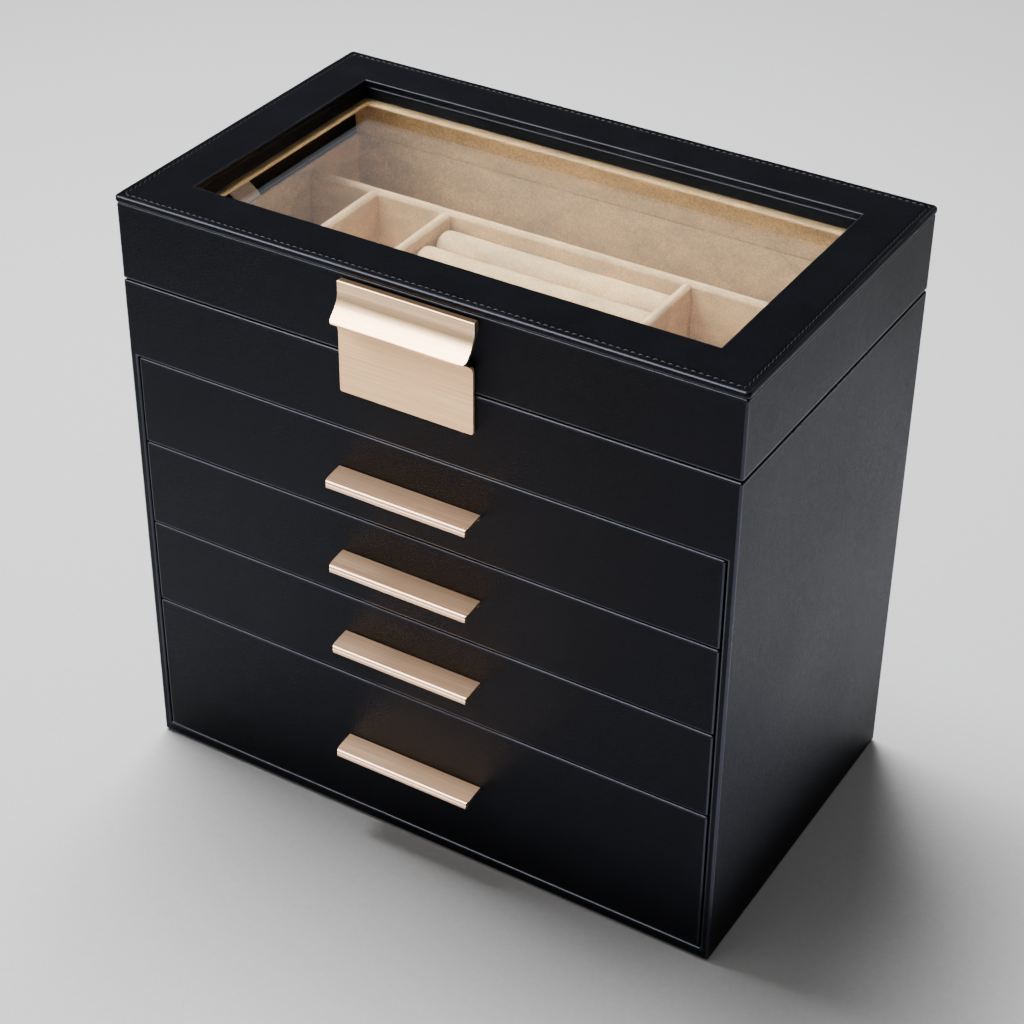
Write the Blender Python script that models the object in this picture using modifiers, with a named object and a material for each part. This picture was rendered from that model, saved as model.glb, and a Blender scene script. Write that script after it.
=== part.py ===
"""Jewelry armoire: a leather-wrapped case with a windowed lid over a lined tray and four drawers.

Frame: metres, +Z up, +X to the right seen from the front, front face towards -Y.
The origin is the centre of the footprint, on the surface that the case stands on.
"""

import math

import bmesh
import bpy
from mathutils import Matrix, Vector

# Overall
WIDTH = 0.288
DEPTH = 0.170
HEIGHT = 0.282
WALL = 0.004  # wrapped board of the case and of the lid's rim
FIT = 0.0003  # gap left between pieces that touch

# Lid
LID_HEIGHT = 0.039
LID_JOINT = 0.0006  # open line between case and lid
TOP_BOARD = 0.003
TOP_OVERHANG = 0.0006
WINDOW_BORDER = 0.023  # from the case's outer face to the window
WINDOW_FRAME = 0.0062  # height of the wrapped frame under the top board
WINDOW_STEP = 0.0004  # the frame stands back from the top board's edge
GLASS = 0.002
GLASS_OVERLAP = 0.005
RETAINER_LEDGE = 0.0013
RETAINER_REACH = 0.0012  # the retainer shows this far inside the window

# Tray
FRONT_BAND = 0.0366  # fixed board between the lid and the drawers
DECK = 0.003
LINER = 0.0012
FLOOR_PAD = 0.0018
DIVIDER = 0.0045
DIVIDER_DROP = 0.0027  # divider tops below the case's rim
REAR_ROW = 0.035  # clear depth of the row behind the long divider
CROSS_DIVIDERS_X = (-0.103, -0.0643, 0.0555)
RING_ROLLS = 7
RING_ROLL_DROP = 0.0035  # roll tops below the dividers

# Drawers
BASE = 0.006
SHALLOW_DRAWERS = 3
SHALLOW_HEIGHT = 0.0425
SHELF = 0.003
FRONT_BOARD = 0.005
REVEAL = 0.0006  # open line round each drawer front
BOX_WALL = 0.0025
BOX_SIDE_PLAY = 0.0006
BOX_TOP_PLAY = 0.0014
BOX_BACK_PLAY = 0.0012
DRAWER_PAD = 0.0015

# Fittings
FITTING_OFFSET = -0.0024  # handles and strike plate sit this far off the centre line
HANDLE_LENGTH = 0.068
HANDLE_REACH = 0.011
HANDLE_SHEET = 0.0013
HANDLE_LIP = 0.0052
HANDLE_FALL = 0.0012  # the flange slopes down this far to its lip
HANDLE_WEB = 0.0032
PULL_LENGTH = 0.0628
PULL_TOP_DROP = 0.0045  # pull's top edge below the lid's top
PULL_HEIGHT = 0.0150
PULL_REACH = 0.0105
PULL_BLOCK = 0.0032
PULL_SHEET = 0.0014
PLATE_WIDTH = 0.0626
PLATE_SHEET = 0.0012
PLATE_BELOW = 0.0178  # plate below the lid joint
PLATE_CLEAR = 0.005  # plate's rolled top below the pull's lower edge
PLATE_ROLL = 0.0026
BRACKET_SHEET = 0.0006
BRACKET_HEIGHT = 0.0095
LUG_WIDTH = 0.0054
LUG_SPACING = 0.040
LUG_RADIUS = 0.0011  # lug material round the pivot
PIVOT_RADIUS = 0.0006
PIVOT_BORE = 0.0007
PIVOT_SETBACK = 0.0011  # pivot in front of the pull block's back face
PIVOT_DROP = 0.0019  # pivot below the pull's top edge
HINGE_SPACING = 0.170
HINGE_WIDTH = 0.030
HINGE_LEAF = 0.0008
HINGE_LEAF_HEIGHT = 0.013
KNUCKLE_RADIUS = 0.0019
HINGE_PIN_RADIUS = 0.0008
HINGE_BORE_RADIUS = 0.0009
STAY_WIDTH = 0.014
STAY_SHEET = 0.0008
STAY_Y = -0.014
FELT = 0.0008
FELT_INSET = 0.006

# Heights and faces that several pieces share
JOINT_Z = HEIGHT - LID_HEIGHT
CASE_TOP = JOINT_Z - LID_JOINT / 2
LID_BOTTOM = JOINT_Z + LID_JOINT / 2
OPENING_TOP = JOINT_Z - FRONT_BAND
DECK_TOP = OPENING_TOP + DECK
INNER_X = WIDTH / 2 - WALL
INNER_Y = DEPTH / 2 - WALL
FRONT_Y = -DEPTH / 2
BACK_Y = DEPTH / 2
LINED_X = INNER_X - FIT - LINER
LINED_Y = INNER_Y - FIT - LINER
TRAY_FLOOR = DECK_TOP + FIT + FLOOR_PAD
DIVIDER_TOP = CASE_TOP - DIVIDER_DROP
LONG_DIVIDER_FRONT = LINED_Y - REAR_ROW - DIVIDER
RIM_TOP = HEIGHT - TOP_BOARD - FIT
FRAME_BOTTOM = RIM_TOP - WINDOW_FRAME
GLASS_TOP = FRAME_BOTTOM - FIT
GLASS_BOTTOM = GLASS_TOP - GLASS
RETAINER_BOTTOM = GLASS_BOTTOM - FIT - RETAINER_LEDGE
WINDOW_X = WIDTH / 2 - WINDOW_BORDER
WINDOW_Y = DEPTH / 2 - WINDOW_BORDER
HINGE_Y = BACK_Y + FIT + KNUCKLE_RADIUS
BRACKET_FRONT = FRONT_Y - FIT - BRACKET_SHEET
PIVOT_Y = BRACKET_FRONT - FIT - PIVOT_SETBACK
PIVOT_Z = HEIGHT - PULL_TOP_DROP - PIVOT_DROP
PLATE_ABOVE = HEIGHT - PULL_TOP_DROP - PULL_HEIGHT - PLATE_CLEAR - JOINT_Z

# Finishes: colour, roughness, metallic
BLACK_LEATHER = ("black_leather", (0.013, 0.013, 0.016), 0.42, 0.0)
CREAM_VELVET = ("cream_velvet", (0.62, 0.48, 0.33), 0.95, 0.0)
SATIN_GOLD = ("satin_gold", (0.74, 0.57, 0.40), 0.30, 1.0)
CLEAR_GLASS = ("clear_glass", (0.90, 0.93, 0.93), 0.03, 0.0)
HINGE_BRASS = ("hinge_brass", (0.60, 0.46, 0.22), 0.35, 1.0)
STAY_RIBBON = ("stay_ribbon", (0.42, 0.34, 0.33), 0.45, 0.0)
BASE_FELT = ("base_felt", (0.02, 0.02, 0.022), 1.0, 0.0)


# ---------------------------------------------------------------- helpers


def clear_scene():
    """Start from an empty scene and make the two collections."""
    for obj in list(bpy.data.objects):
        bpy.data.objects.remove(obj, do_unlink=True)
    parts = bpy.data.collections.new("jewelry_armoire")
    cutters = bpy.data.collections.new("cutters")
    for collection in (parts, cutters):
        bpy.context.scene.collection.children.link(collection)
    return parts, cutters


PARTS, CUTTERS = clear_scene()


def finish_of(finish):
    """The material for a finish, made once."""
    name, colour, roughness, metallic = finish
    material = bpy.data.materials.get(name)
    if material is None:
        material = bpy.data.materials.new(name)
        material.use_nodes = True
        shader = material.node_tree.nodes["Principled BSDF"]
        shader.inputs["Base Color"].default_value = (*colour, 1.0)
        shader.inputs["Roughness"].default_value = roughness
        shader.inputs["Metallic"].default_value = metallic
        material.diffuse_color = (*colour, 1.0)
    return material


def axis_empty(name, location):
    """An empty on a moving piece's axis, for its pieces to hang from."""
    empty = bpy.data.objects.new(name, None)
    empty.empty_display_size = 0.02
    empty.location = location
    PARTS.objects.link(empty)
    return empty


def place(obj, parent):
    """Hang an object from an empty without moving it."""
    if parent is not None:
        obj.parent = parent
        obj.matrix_parent_inverse = Matrix.Translation(parent.location).inverted()


def dress(obj, finish, parent):
    """Give a part its finish, its collection and its parent."""
    obj.data.materials.append(finish_of(finish))
    PARTS.objects.link(obj)
    place(obj, parent)
    return obj


def as_cutter(obj):
    """Keep an object as a hidden Boolean operand."""
    obj.hide_render = True
    obj.display_type = "WIRE"
    CUTTERS.objects.link(obj)
    return obj


def block(name, low, high):
    """A box between two corners, with its origin at its centre."""
    low, high = Vector(low), Vector(high)
    size = high - low
    shape = bmesh.new()
    bmesh.ops.create_cube(shape, size=1.0)
    bmesh.ops.scale(shape, vec=size, verts=shape.verts)
    mesh = bpy.data.meshes.new(name)
    shape.to_mesh(mesh)
    shape.free()
    obj = bpy.data.objects.new(name, mesh)
    obj.location = (low + high) / 2
    return obj


def rod(name, centre, radius, length, sides=16):
    """A round bar along X."""
    shape = bmesh.new()
    bmesh.ops.create_cone(
        shape, cap_ends=True, segments=sides, radius1=radius, radius2=radius, depth=length
    )
    bmesh.ops.rotate(shape, matrix=Matrix.Rotation(math.pi / 2, 3, "Y"), verts=shape.verts)
    mesh = bpy.data.meshes.new(name)
    shape.to_mesh(mesh)
    shape.free()
    mesh.shade_smooth()
    mesh.set_sharp_from_angle(angle=math.radians(40))
    obj = bpy.data.objects.new(name, mesh)
    obj.location = centre
    return obj


def arc(centre, radius, start, end, steps):
    """Points on an arc, angles in degrees, both ends included."""
    turn = (end - start) / steps
    angles = [math.radians(start + turn * step) for step in range(steps + 1)]
    return [
        (centre[0] + radius * math.cos(angle), centre[1] + radius * math.sin(angle))
        for angle in angles
    ]


def extrusion(name, outline, length, origin, turned):
    """A closed outline given a length: a 2D curve, turned so that the length lies where asked."""
    curve = bpy.data.curves.new(name, "CURVE")
    curve.dimensions = "2D"
    curve.fill_mode = "BOTH"
    curve.extrude = length / 2
    spline = curve.splines.new("POLY")
    spline.points.add(len(outline) - 1)
    for point, (u, v) in zip(spline.points, outline):
        point.co = (u, v, 0.0, 1.0)
    spline.use_cyclic_u = True
    obj = bpy.data.objects.new(name, curve)
    obj.location = origin
    obj.rotation_euler = turned.to_euler()
    return obj


def solid_from(curve_object):
    """The curve object as a closed mesh, ready for Booleans."""
    bpy.context.scene.collection.objects.link(curve_object)
    bpy.context.view_layer.update()
    graph = bpy.context.evaluated_depsgraph_get()
    mesh = bpy.data.meshes.new_from_object(curve_object.evaluated_get(graph))
    shape = bmesh.new()
    shape.from_mesh(mesh)
    bmesh.ops.remove_doubles(shape, verts=shape.verts, dist=1e-6)
    bmesh.ops.recalc_face_normals(shape, faces=shape.faces)
    shape.to_mesh(mesh)
    shape.free()
    name = curve_object.name
    matrix = curve_object.matrix_world.copy()
    bpy.data.objects.remove(curve_object, do_unlink=True)
    obj = bpy.data.objects.new(name, mesh)
    obj.matrix_world = matrix
    return obj


# Outline axes: u runs out of the front face (-Y), v up, and the length lies along X.
OUT_OF_FRONT = Matrix(((0, 0, -1), (-1, 0, 0), (0, 1, 0)))
# Outline axes: u runs along X, v up, and the length lies along Y.
ACROSS_DEPTH = Matrix(((1, 0, 0), (0, 0, -1), (0, 1, 0)))


def boolean(obj, operand, operation="DIFFERENCE"):
    modifier = obj.modifiers.new(f"{operation.lower()}_{operand.name}", "BOOLEAN")
    modifier.operation = operation
    modifier.solver = "EXACT"
    modifier.object = operand


def soften(obj, width, segments=2):
    """Round the edges over 40 degrees, as a wrap or a stamped edge does."""
    modifier = obj.modifiers.new("soft_edges", "BEVEL")
    modifier.width = width
    modifier.segments = segments
    modifier.limit_method = "ANGLE"
    modifier.angle_limit = math.radians(40)
    modifier.use_clamp_overlap = True


def board(name, low, high, finish, parent=None, edge=0.0008, segments=2):
    """A plain board with softened edges."""
    obj = block(name, low, high)
    if edge:
        soften(obj, edge, segments)
    return dress(obj, finish, parent)


# ---------------------------------------------------------------- case


def drawer_bays():
    """(bottom, top) of each drawer front's bay, from the top drawer down."""
    bays = []
    top = OPENING_TOP
    for _ in range(SHALLOW_DRAWERS):
        bays.append((top - SHALLOW_HEIGHT, top))
        top -= SHALLOW_HEIGHT
    bays.append((BASE, top))
    return bays


BAYS = drawer_bays()


def build_case():
    """Sides, back, base, front band, tray deck and the shelves between the drawers."""
    board("side_panel_left", (-WIDTH / 2, FRONT_Y, 0), (-INNER_X, BACK_Y, CASE_TOP), BLACK_LEATHER)
    board("side_panel_right", (INNER_X, FRONT_Y, 0), (WIDTH / 2, BACK_Y, CASE_TOP), BLACK_LEATHER)
    inside = INNER_X - FIT
    board("back_panel", (-inside, INNER_Y, 0), (inside, BACK_Y, CASE_TOP), BLACK_LEATHER)
    base = block("base_panel", (-inside, FRONT_Y, 0), (inside, INNER_Y - FIT, BASE))
    recess = block(
        "felt_recess",
        (-inside + FELT_INSET, FRONT_Y + FELT_INSET, -FELT),
        (inside - FELT_INSET, INNER_Y - FELT_INSET, FELT + FIT),
    )
    boolean(base, as_cutter(recess))
    soften(base, 0.0006, 1)
    dress(base, BLACK_LEATHER, None)
    board(
        "base_felt",
        (-inside + FELT_INSET + FIT, FRONT_Y + FELT_INSET + FIT, 0),
        (inside - FELT_INSET - FIT, INNER_Y - FELT_INSET - FIT, FELT),
        BASE_FELT,
        edge=0,
    )
    board(
        "front_band",
        (-inside, FRONT_Y, OPENING_TOP),
        (inside, -INNER_Y, CASE_TOP),
        BLACK_LEATHER,
    )
    board(
        "tray_deck",
        (-inside, -INNER_Y + FIT, OPENING_TOP),
        (inside, INNER_Y - FIT, DECK_TOP),
        BLACK_LEATHER,
        edge=0,
    )
    shelf_front = FRONT_Y + FRONT_BOARD + REVEAL
    for number, (bottom, _) in enumerate(BAYS[:-1], start=1):
        board(
            f"drawer_shelf_{number}",
            (-inside, shelf_front, bottom - SHELF / 2),
            (inside, INNER_Y - FIT, bottom + SHELF / 2),
            BLACK_LEATHER,
            edge=0,
        )


# ---------------------------------------------------------------- tray


def build_tray():
    """Velvet liner, floor pad, dividers and the row of ring rolls."""
    outer_x, outer_y = INNER_X - FIT, INNER_Y - FIT
    liner = block("tray_liner", (-outer_x, -outer_y, DECK_TOP + FIT), (outer_x, outer_y, CASE_TOP))
    hollow = block(
        "liner_hollow",
        (-LINED_X, -LINED_Y, DECK_TOP - FIT),
        (LINED_X, LINED_Y, JOINT_Z + WALL),
    )
    boolean(liner, as_cutter(hollow))
    soften(liner, 0.0004, 1)
    dress(liner, CREAM_VELVET, None)
    clear_x, clear_y = LINED_X - FIT, LINED_Y - FIT
    board(
        "tray_floor_pad",
        (-clear_x, -clear_y, DECK_TOP + FIT),
        (clear_x, clear_y, TRAY_FLOOR),
        CREAM_VELVET,
        edge=0.0005,
        segments=1,
    )
    foot = TRAY_FLOOR + FIT
    back_of_long = LONG_DIVIDER_FRONT + DIVIDER
    board(
        "tray_long_divider",
        (-clear_x, LONG_DIVIDER_FRONT, foot),
        (clear_x, back_of_long, DIVIDER_TOP),
        CREAM_VELVET,
        edge=0.0012,
    )
    for number, x in enumerate(CROSS_DIVIDERS_X, start=1):
        board(
            f"tray_cross_divider_{number}",
            (x - DIVIDER / 2, -clear_y, foot),
            (x + DIVIDER / 2, LONG_DIVIDER_FRONT - FIT, DIVIDER_TOP),
            CREAM_VELVET,
            edge=0.0012,
        )
    build_ring_rolls(foot)


def build_ring_rolls(foot):
    """Padded rolls side by side, with the slots that hold rings between them."""
    left = CROSS_DIVIDERS_X[1] + DIVIDER / 2 + FIT
    right = CROSS_DIVIDERS_X[2] - DIVIDER / 2 - FIT
    front, back = -LINED_Y + FIT, LONG_DIVIDER_FRONT - FIT
    pitch = (back - front + FIT) / RING_ROLLS
    radius = (pitch - FIT) / 2
    height = DIVIDER_TOP - RING_ROLL_DROP - foot
    crown = arc((0, height - radius), radius, 0, 180, 10)
    outline = [(-radius, 0), (radius, 0), *crown]
    for number in range(1, RING_ROLLS + 1):
        y = back - radius - (number - 1) * pitch
        roll = extrusion(
            f"ring_roll_{number}", outline, right - left, ((left + right) / 2, y, foot), OUT_OF_FRONT
        )
        dress(roll, CREAM_VELVET, None)


# ---------------------------------------------------------------- drawers


def handle_outline():
    """Bent pull seen end on: a web against the drawer, a crowned flange and a lip with a groove."""
    sheet = HANDLE_SHEET
    nose = 0.0012
    reach, fall, lip = HANDLE_REACH, HANDLE_FALL, HANDLE_LIP
    groove_at = -fall - nose - 0.0006
    crown = 0.0004
    top = [
        (reach * share, -fall * share**1.6 + crown * math.sin(math.pi * share))
        for share in (0.0, 0.25, 0.5, 0.75)
    ]
    outer = [
        *top,
        *arc((reach - nose, -fall - nose + 0.0003), nose, 80, 0, 4),
        (reach, groove_at),
        (reach - 0.0004, groove_at - 0.0003),
        (reach, groove_at - 0.0006),
        (reach, -lip + 0.0004),
        (reach - 0.0004, -lip),
    ]
    inner = [
        (reach - sheet, -lip),
        (reach - sheet, -fall - sheet - 0.0006),
        (reach - sheet - 0.0008, -fall - sheet + 0.0002),
        (reach / 2, -fall / 3 - sheet + crown),
        (sheet + 0.0006, -sheet),
        (sheet, -sheet - 0.0006),
        (sheet, -HANDLE_WEB),
        (0.0, -HANDLE_WEB),
    ]
    return outer + inner


def build_drawer(number, bottom, top):
    """One drawer: wrapped front, lined box, floor pad and handle, hung from its own empty."""
    name = f"drawer_{number}"
    slide = axis_empty(f"{name}_slide", (0, FRONT_Y, (bottom + top) / 2))
    half = INNER_X - REVEAL
    front_back = FRONT_Y + FRONT_BOARD
    board(
        f"{name}_front",
        (-half, FRONT_Y, bottom + REVEAL / 2),
        (half, front_back, top - REVEAL / 2),
        BLACK_LEATHER,
        slide,
    )
    rests_on = bottom + (SHELF / 2 if number <= SHALLOW_DRAWERS else 0) + FIT
    roof = top - (SHELF / 2 if number > 1 else 0)
    box_half = INNER_X - BOX_SIDE_PLAY
    low = (-box_half, front_back + FIT, rests_on)
    high = (box_half, INNER_Y - BOX_BACK_PLAY, roof - BOX_TOP_PLAY)
    box = block(f"{name}_box", low, high)
    hollow = block(
        f"{name}_hollow",
        (low[0] + BOX_WALL, low[1] + BOX_WALL, low[2] + BOX_WALL),
        (high[0] - BOX_WALL, high[1] - BOX_WALL, high[2] + BOX_WALL),
    )
    boolean(box, as_cutter(hollow))
    soften(box, 0.0005, 1)
    dress(box, CREAM_VELVET, slide)
    board(
        f"{name}_pad",
        (low[0] + BOX_WALL + FIT, low[1] + BOX_WALL + FIT, low[2] + BOX_WALL + FIT),
        (high[0] - BOX_WALL - FIT, high[1] - BOX_WALL - FIT, low[2] + BOX_WALL + FIT + DRAWER_PAD),
        CREAM_VELVET,
        slide,
        edge=0.0005,
        segments=1,
    )
    handle = extrusion(
        f"{name}_handle",
        handle_outline(),
        HANDLE_LENGTH,
        (FITTING_OFFSET, FRONT_Y - FIT, (bottom + top) / 2 + HANDLE_LIP / 2),
        OUT_OF_FRONT,
    )
    dress(handle, SATIN_GOLD, slide)


# ---------------------------------------------------------------- lid


def window_cutter(name, reach, low_z, high_z):
    """A box through the lid's window, larger by reach on each side."""
    half_x, half_y = WINDOW_X + reach, WINDOW_Y + reach
    return as_cutter(block(name, (-half_x, -half_y, low_z), (half_x, half_y, high_z)))


def build_lid(axis):
    """Rim, top board with its window, window frame, glass, retainer and back lining."""
    inside = INNER_X - FIT
    half_x = WIDTH / 2
    board("lid_rim_left", (-half_x, FRONT_Y, LID_BOTTOM), (-INNER_X, BACK_Y, RIM_TOP), BLACK_LEATHER, axis)
    board("lid_rim_right", (INNER_X, FRONT_Y, LID_BOTTOM), (half_x, BACK_Y, RIM_TOP), BLACK_LEATHER, axis)
    board("lid_rim_front", (-inside, FRONT_Y, LID_BOTTOM), (inside, -INNER_Y, RIM_TOP), BLACK_LEATHER, axis)
    board("lid_rim_back", (-inside, INNER_Y, LID_BOTTOM), (inside, BACK_Y, RIM_TOP), BLACK_LEATHER, axis)

    out_x, out_y = half_x + TOP_OVERHANG, BACK_Y + TOP_OVERHANG
    top = block("lid_top_board", (-out_x, -out_y, HEIGHT - TOP_BOARD), (out_x, out_y, HEIGHT))
    boolean(top, window_cutter("window_in_top", 0, RIM_TOP - WALL, HEIGHT + WALL))
    soften(top, 0.0009)
    dress(top, BLACK_LEATHER, axis)

    in_x, in_y = INNER_X - FIT, INNER_Y - FIT
    frame = block("lid_window_frame", (-in_x, -in_y, FRAME_BOTTOM), (in_x, in_y, RIM_TOP))
    boolean(frame, window_cutter("window_in_frame", WINDOW_STEP, FRAME_BOTTOM - WALL, HEIGHT))
    soften(frame, 0.0006, 1)
    dress(frame, BLACK_LEATHER, axis)

    glass_x, glass_y = WINDOW_X + GLASS_OVERLAP, WINDOW_Y + GLASS_OVERLAP
    board(
        "lid_glass",
        (-glass_x, -glass_y, GLASS_BOTTOM),
        (glass_x, glass_y, GLASS_TOP),
        CLEAR_GLASS,
        axis,
        edge=0.0002,
        segments=1,
    )
    retainer = block("glass_retainer", (-in_x, -in_y, RETAINER_BOTTOM), (in_x, in_y, GLASS_TOP))
    through = window_cutter(
        "retainer_opening", -RETAINER_REACH, RETAINER_BOTTOM - WALL, GLASS_TOP + WALL
    )
    rebate = window_cutter(
        "glass_rebate", GLASS_OVERLAP + FIT, GLASS_BOTTOM - FIT, GLASS_TOP + WALL
    )
    boolean(retainer, through)
    boolean(retainer, rebate)
    soften(retainer, 0.0004, 1)
    dress(retainer, CREAM_VELVET, axis)
    board(
        "lid_back_lining",
        (-in_x, LINED_Y, LID_BOTTOM),
        (in_x, INNER_Y - FIT, RETAINER_BOTTOM - FIT),
        CREAM_VELVET,
        axis,
        edge=0.0004,
        segments=1,
    )
    build_stay(axis)


def build_stay(axis):
    """Ribbon stay: shut, its slack hangs from the lid's left wall in a soft fold."""
    fold = 0.0042
    wall_x = -INNER_X + 2 * FIT
    top = RETAINER_BOTTOM - FIT
    bend_z = LID_BOTTOM + FIT + fold + STAY_SHEET
    centre = (fold + STAY_SHEET, bend_z)
    outer = arc(centre, fold + STAY_SHEET, 180, 330, 8)
    inner = arc(centre, fold, 330, 180, 8)
    outline = [(0.0, top), *outer, *inner, (STAY_SHEET, top)]
    stay = extrusion("ribbon_stay", outline, STAY_WIDTH, (wall_x, STAY_Y, 0), ACROSS_DEPTH)
    dress(stay, STAY_RIBBON, axis)


# ---------------------------------------------------------------- hinges


def hinge_leaf(name, x, side, spans, finish, parent):
    """One leaf: a plate on the back face, with knuckles round the pin at the given spans along X."""
    face = BACK_Y + FIT
    clear_of_barrel = KNUCKLE_RADIUS + FIT
    half = HINGE_WIDTH / 2
    reach = (JOINT_Z + side * clear_of_barrel, JOINT_Z + side * HINGE_LEAF_HEIGHT)
    leaf = block(name, (x - half, face, min(reach)), (x + half, face + HINGE_LEAF, max(reach)))
    for start, end in spans:
        tongue_z = (JOINT_Z, JOINT_Z + side * (clear_of_barrel + HINGE_LEAF))
        tongue = block(
            f"{name}_tongue",
            (x + start, face, min(tongue_z)),
            (x + end, face + HINGE_LEAF, max(tongue_z)),
        )
        knuckle = rod(
            f"{name}_knuckle",
            (x + (start + end) / 2, HINGE_Y, JOINT_Z),
            KNUCKLE_RADIUS,
            end - start,
        )
        boolean(leaf, as_cutter(tongue), "UNION")
        boolean(leaf, as_cutter(knuckle), "UNION")
    bore = rod(f"{name}_bore", (x, HINGE_Y, JOINT_Z), HINGE_BORE_RADIUS, 2 * HINGE_WIDTH, 12)
    boolean(leaf, as_cutter(bore))
    dress(leaf, finish, parent)


def build_hinges(axis):
    """Two butt hinges across the joint line at the back."""
    third = HINGE_WIDTH / 6
    end = HINGE_WIDTH / 2
    for side, x in (("left", -HINGE_SPACING / 2), ("right", HINGE_SPACING / 2)):
        outer_spans = ((-end, -third - FIT), (third + FIT, end))
        hinge_leaf(f"hinge_{side}_case_leaf", x, -1, outer_spans, HINGE_BRASS, None)
        hinge_leaf(f"hinge_{side}_lid_leaf", x, 1, ((-third, third),), HINGE_BRASS, axis)
        pin = rod(f"hinge_{side}_pin", (x, HINGE_Y, JOINT_Z), HINGE_PIN_RADIUS, HINGE_WIDTH, 12)
        dress(pin, HINGE_BRASS, None)


# ---------------------------------------------------------------- clasp


def pull_outline():
    """Clasp pull seen end on, from its pivot: a block at the top, then a cove that flares to a lip."""
    back, front = -PIVOT_SETBACK, PULL_BLOCK - PIVOT_SETBACK
    top = PIVOT_DROP
    block_bottom = top - 0.0046
    bottom = top - PULL_HEIGHT
    reach = PULL_REACH - PULL_BLOCK - 2 * FIT
    steps = 8
    cove = []
    for step in range(steps + 1):
        share = step / steps
        cove.append((front + reach * share**2.1, block_bottom + (bottom - block_bottom) * share))
    lip = cove[-1]
    lip_end = [(lip[0] + 0.0002, lip[1] - 0.0006), (lip[0] - 0.0006, lip[1] - 0.0010)]
    inner = [(u - PULL_SHEET * 0.8, v - PULL_SHEET * 0.75) for u, v in cove[::-1][1:-2]]
    return [
        (back, top - 0.0003),
        (back + 0.0003, top),
        (front - 0.0004, top),
        (front, top - 0.0004),
        *cove,
        *lip_end,
        *inner,
        (back, block_bottom - 0.0004),
    ]


def plate_outline():
    """Strike plate seen end on: flat on the front, then rolled out at its top edge."""
    sheet, roll = PLATE_SHEET, PLATE_ROLL
    flat_top = PLATE_ABOVE - roll - sheet
    centre = (roll + sheet, flat_top)
    inner = arc(centre, roll, 180, 120, 4)
    outer = arc(centre, roll + sheet, 120, 180, 4)
    tip = (centre[0] - roll * 0.2, flat_top + roll + sheet * 0.6)
    return [(0.0, -PLATE_BELOW), (sheet, -PLATE_BELOW), *inner, tip, *outer]


def lug_outline():
    """Bracket lug seen end on, from the pivot: an eye round the pin, and a foot sunk into the bracket."""
    back = PIVOT_Y - (FRONT_Y - FIT - BRACKET_SHEET / 2)
    foot = -PIVOT_DROP - LUG_RADIUS
    eye = arc((0.0, 0.0), LUG_RADIUS, 0, 150, 6)
    return [(back, foot), (LUG_RADIUS, foot), *eye, (back, 0.0)]


def build_clasp(lid_axis, pull_axis):
    """Strike plate on the case, bracket and pivot pin on the lid, and the pull that turns on them."""
    plate = extrusion(
        "clasp_strike_plate",
        plate_outline(),
        PLATE_WIDTH,
        (FITTING_OFFSET, FRONT_Y - FIT, JOINT_Z),
        OUT_OF_FRONT,
    )
    dress(plate, SATIN_GOLD, None)

    half = PULL_LENGTH / 2
    bracket_top = PIVOT_Z - PIVOT_DROP
    bracket = block(
        "clasp_bracket",
        (-half + WALL, BRACKET_FRONT, bracket_top - BRACKET_HEIGHT),
        (half - WALL, FRONT_Y - FIT, bracket_top),
    )
    lug_centres = (-LUG_SPACING / 2, LUG_SPACING / 2)
    for number, x in enumerate(lug_centres, start=1):
        pivot = (x, PIVOT_Y, PIVOT_Z)
        lug = solid_from(extrusion(f"lug_{number}", lug_outline(), LUG_WIDTH, pivot, OUT_OF_FRONT))
        boolean(bracket, as_cutter(lug), "UNION")
    pin_length = LUG_SPACING + 3 * LUG_WIDTH
    lug_bore = rod("lug_bore", (0, PIVOT_Y, PIVOT_Z), PIVOT_BORE, PULL_LENGTH, 12)
    boolean(bracket, as_cutter(lug_bore))
    dress(bracket, SATIN_GOLD, lid_axis)
    pin = rod("clasp_pivot_pin", (0, PIVOT_Y, PIVOT_Z), PIVOT_RADIUS, pin_length, 12)
    dress(pin, SATIN_GOLD, lid_axis)

    pull = solid_from(
        extrusion("clasp_pull", pull_outline(), PULL_LENGTH, (0, PIVOT_Y, PIVOT_Z), OUT_OF_FRONT)
    )
    for number, x in enumerate(lug_centres, start=1):
        slot = block(
            f"lug_slot_{number}",
            (x - LUG_WIDTH / 2 - FIT, PIVOT_Y - LUG_RADIUS - FIT, PIVOT_Z - PULL_HEIGHT),
            (x + LUG_WIDTH / 2 + FIT, FRONT_Y, PIVOT_Z + LUG_RADIUS + FIT),
        )
        boolean(pull, as_cutter(slot))
    bore = rod("pull_bore", (0, PIVOT_Y, PIVOT_Z), PIVOT_BORE, pin_length + 2 * FIT, 12)
    boolean(pull, as_cutter(bore))
    dress(pull, SATIN_GOLD, pull_axis)


# ---------------------------------------------------------------- assembly


def main():
    build_case()
    build_tray()
    for number, (bottom, top) in enumerate(BAYS, start=1):
        build_drawer(number, bottom, top)
    lid_axis = axis_empty("lid_hinge_axis", (0, HINGE_Y, JOINT_Z))
    pull_axis = axis_empty("clasp_pivot_axis", (0, PIVOT_Y, PIVOT_Z))
    place(pull_axis, lid_axis)
    build_lid(lid_axis)
    build_hinges(lid_axis)
    build_clasp(lid_axis, pull_axis)


main()
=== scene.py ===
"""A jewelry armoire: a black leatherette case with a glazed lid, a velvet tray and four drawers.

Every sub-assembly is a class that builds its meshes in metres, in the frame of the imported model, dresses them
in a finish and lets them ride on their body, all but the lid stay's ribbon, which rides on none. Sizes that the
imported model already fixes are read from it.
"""

from __future__ import annotations

import logging
import math
from collections.abc import Callable, Sequence
from dataclasses import dataclass, field
from enum import Enum

import bmesh
import bpy
from mathutils import Matrix, Vector, noise


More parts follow.
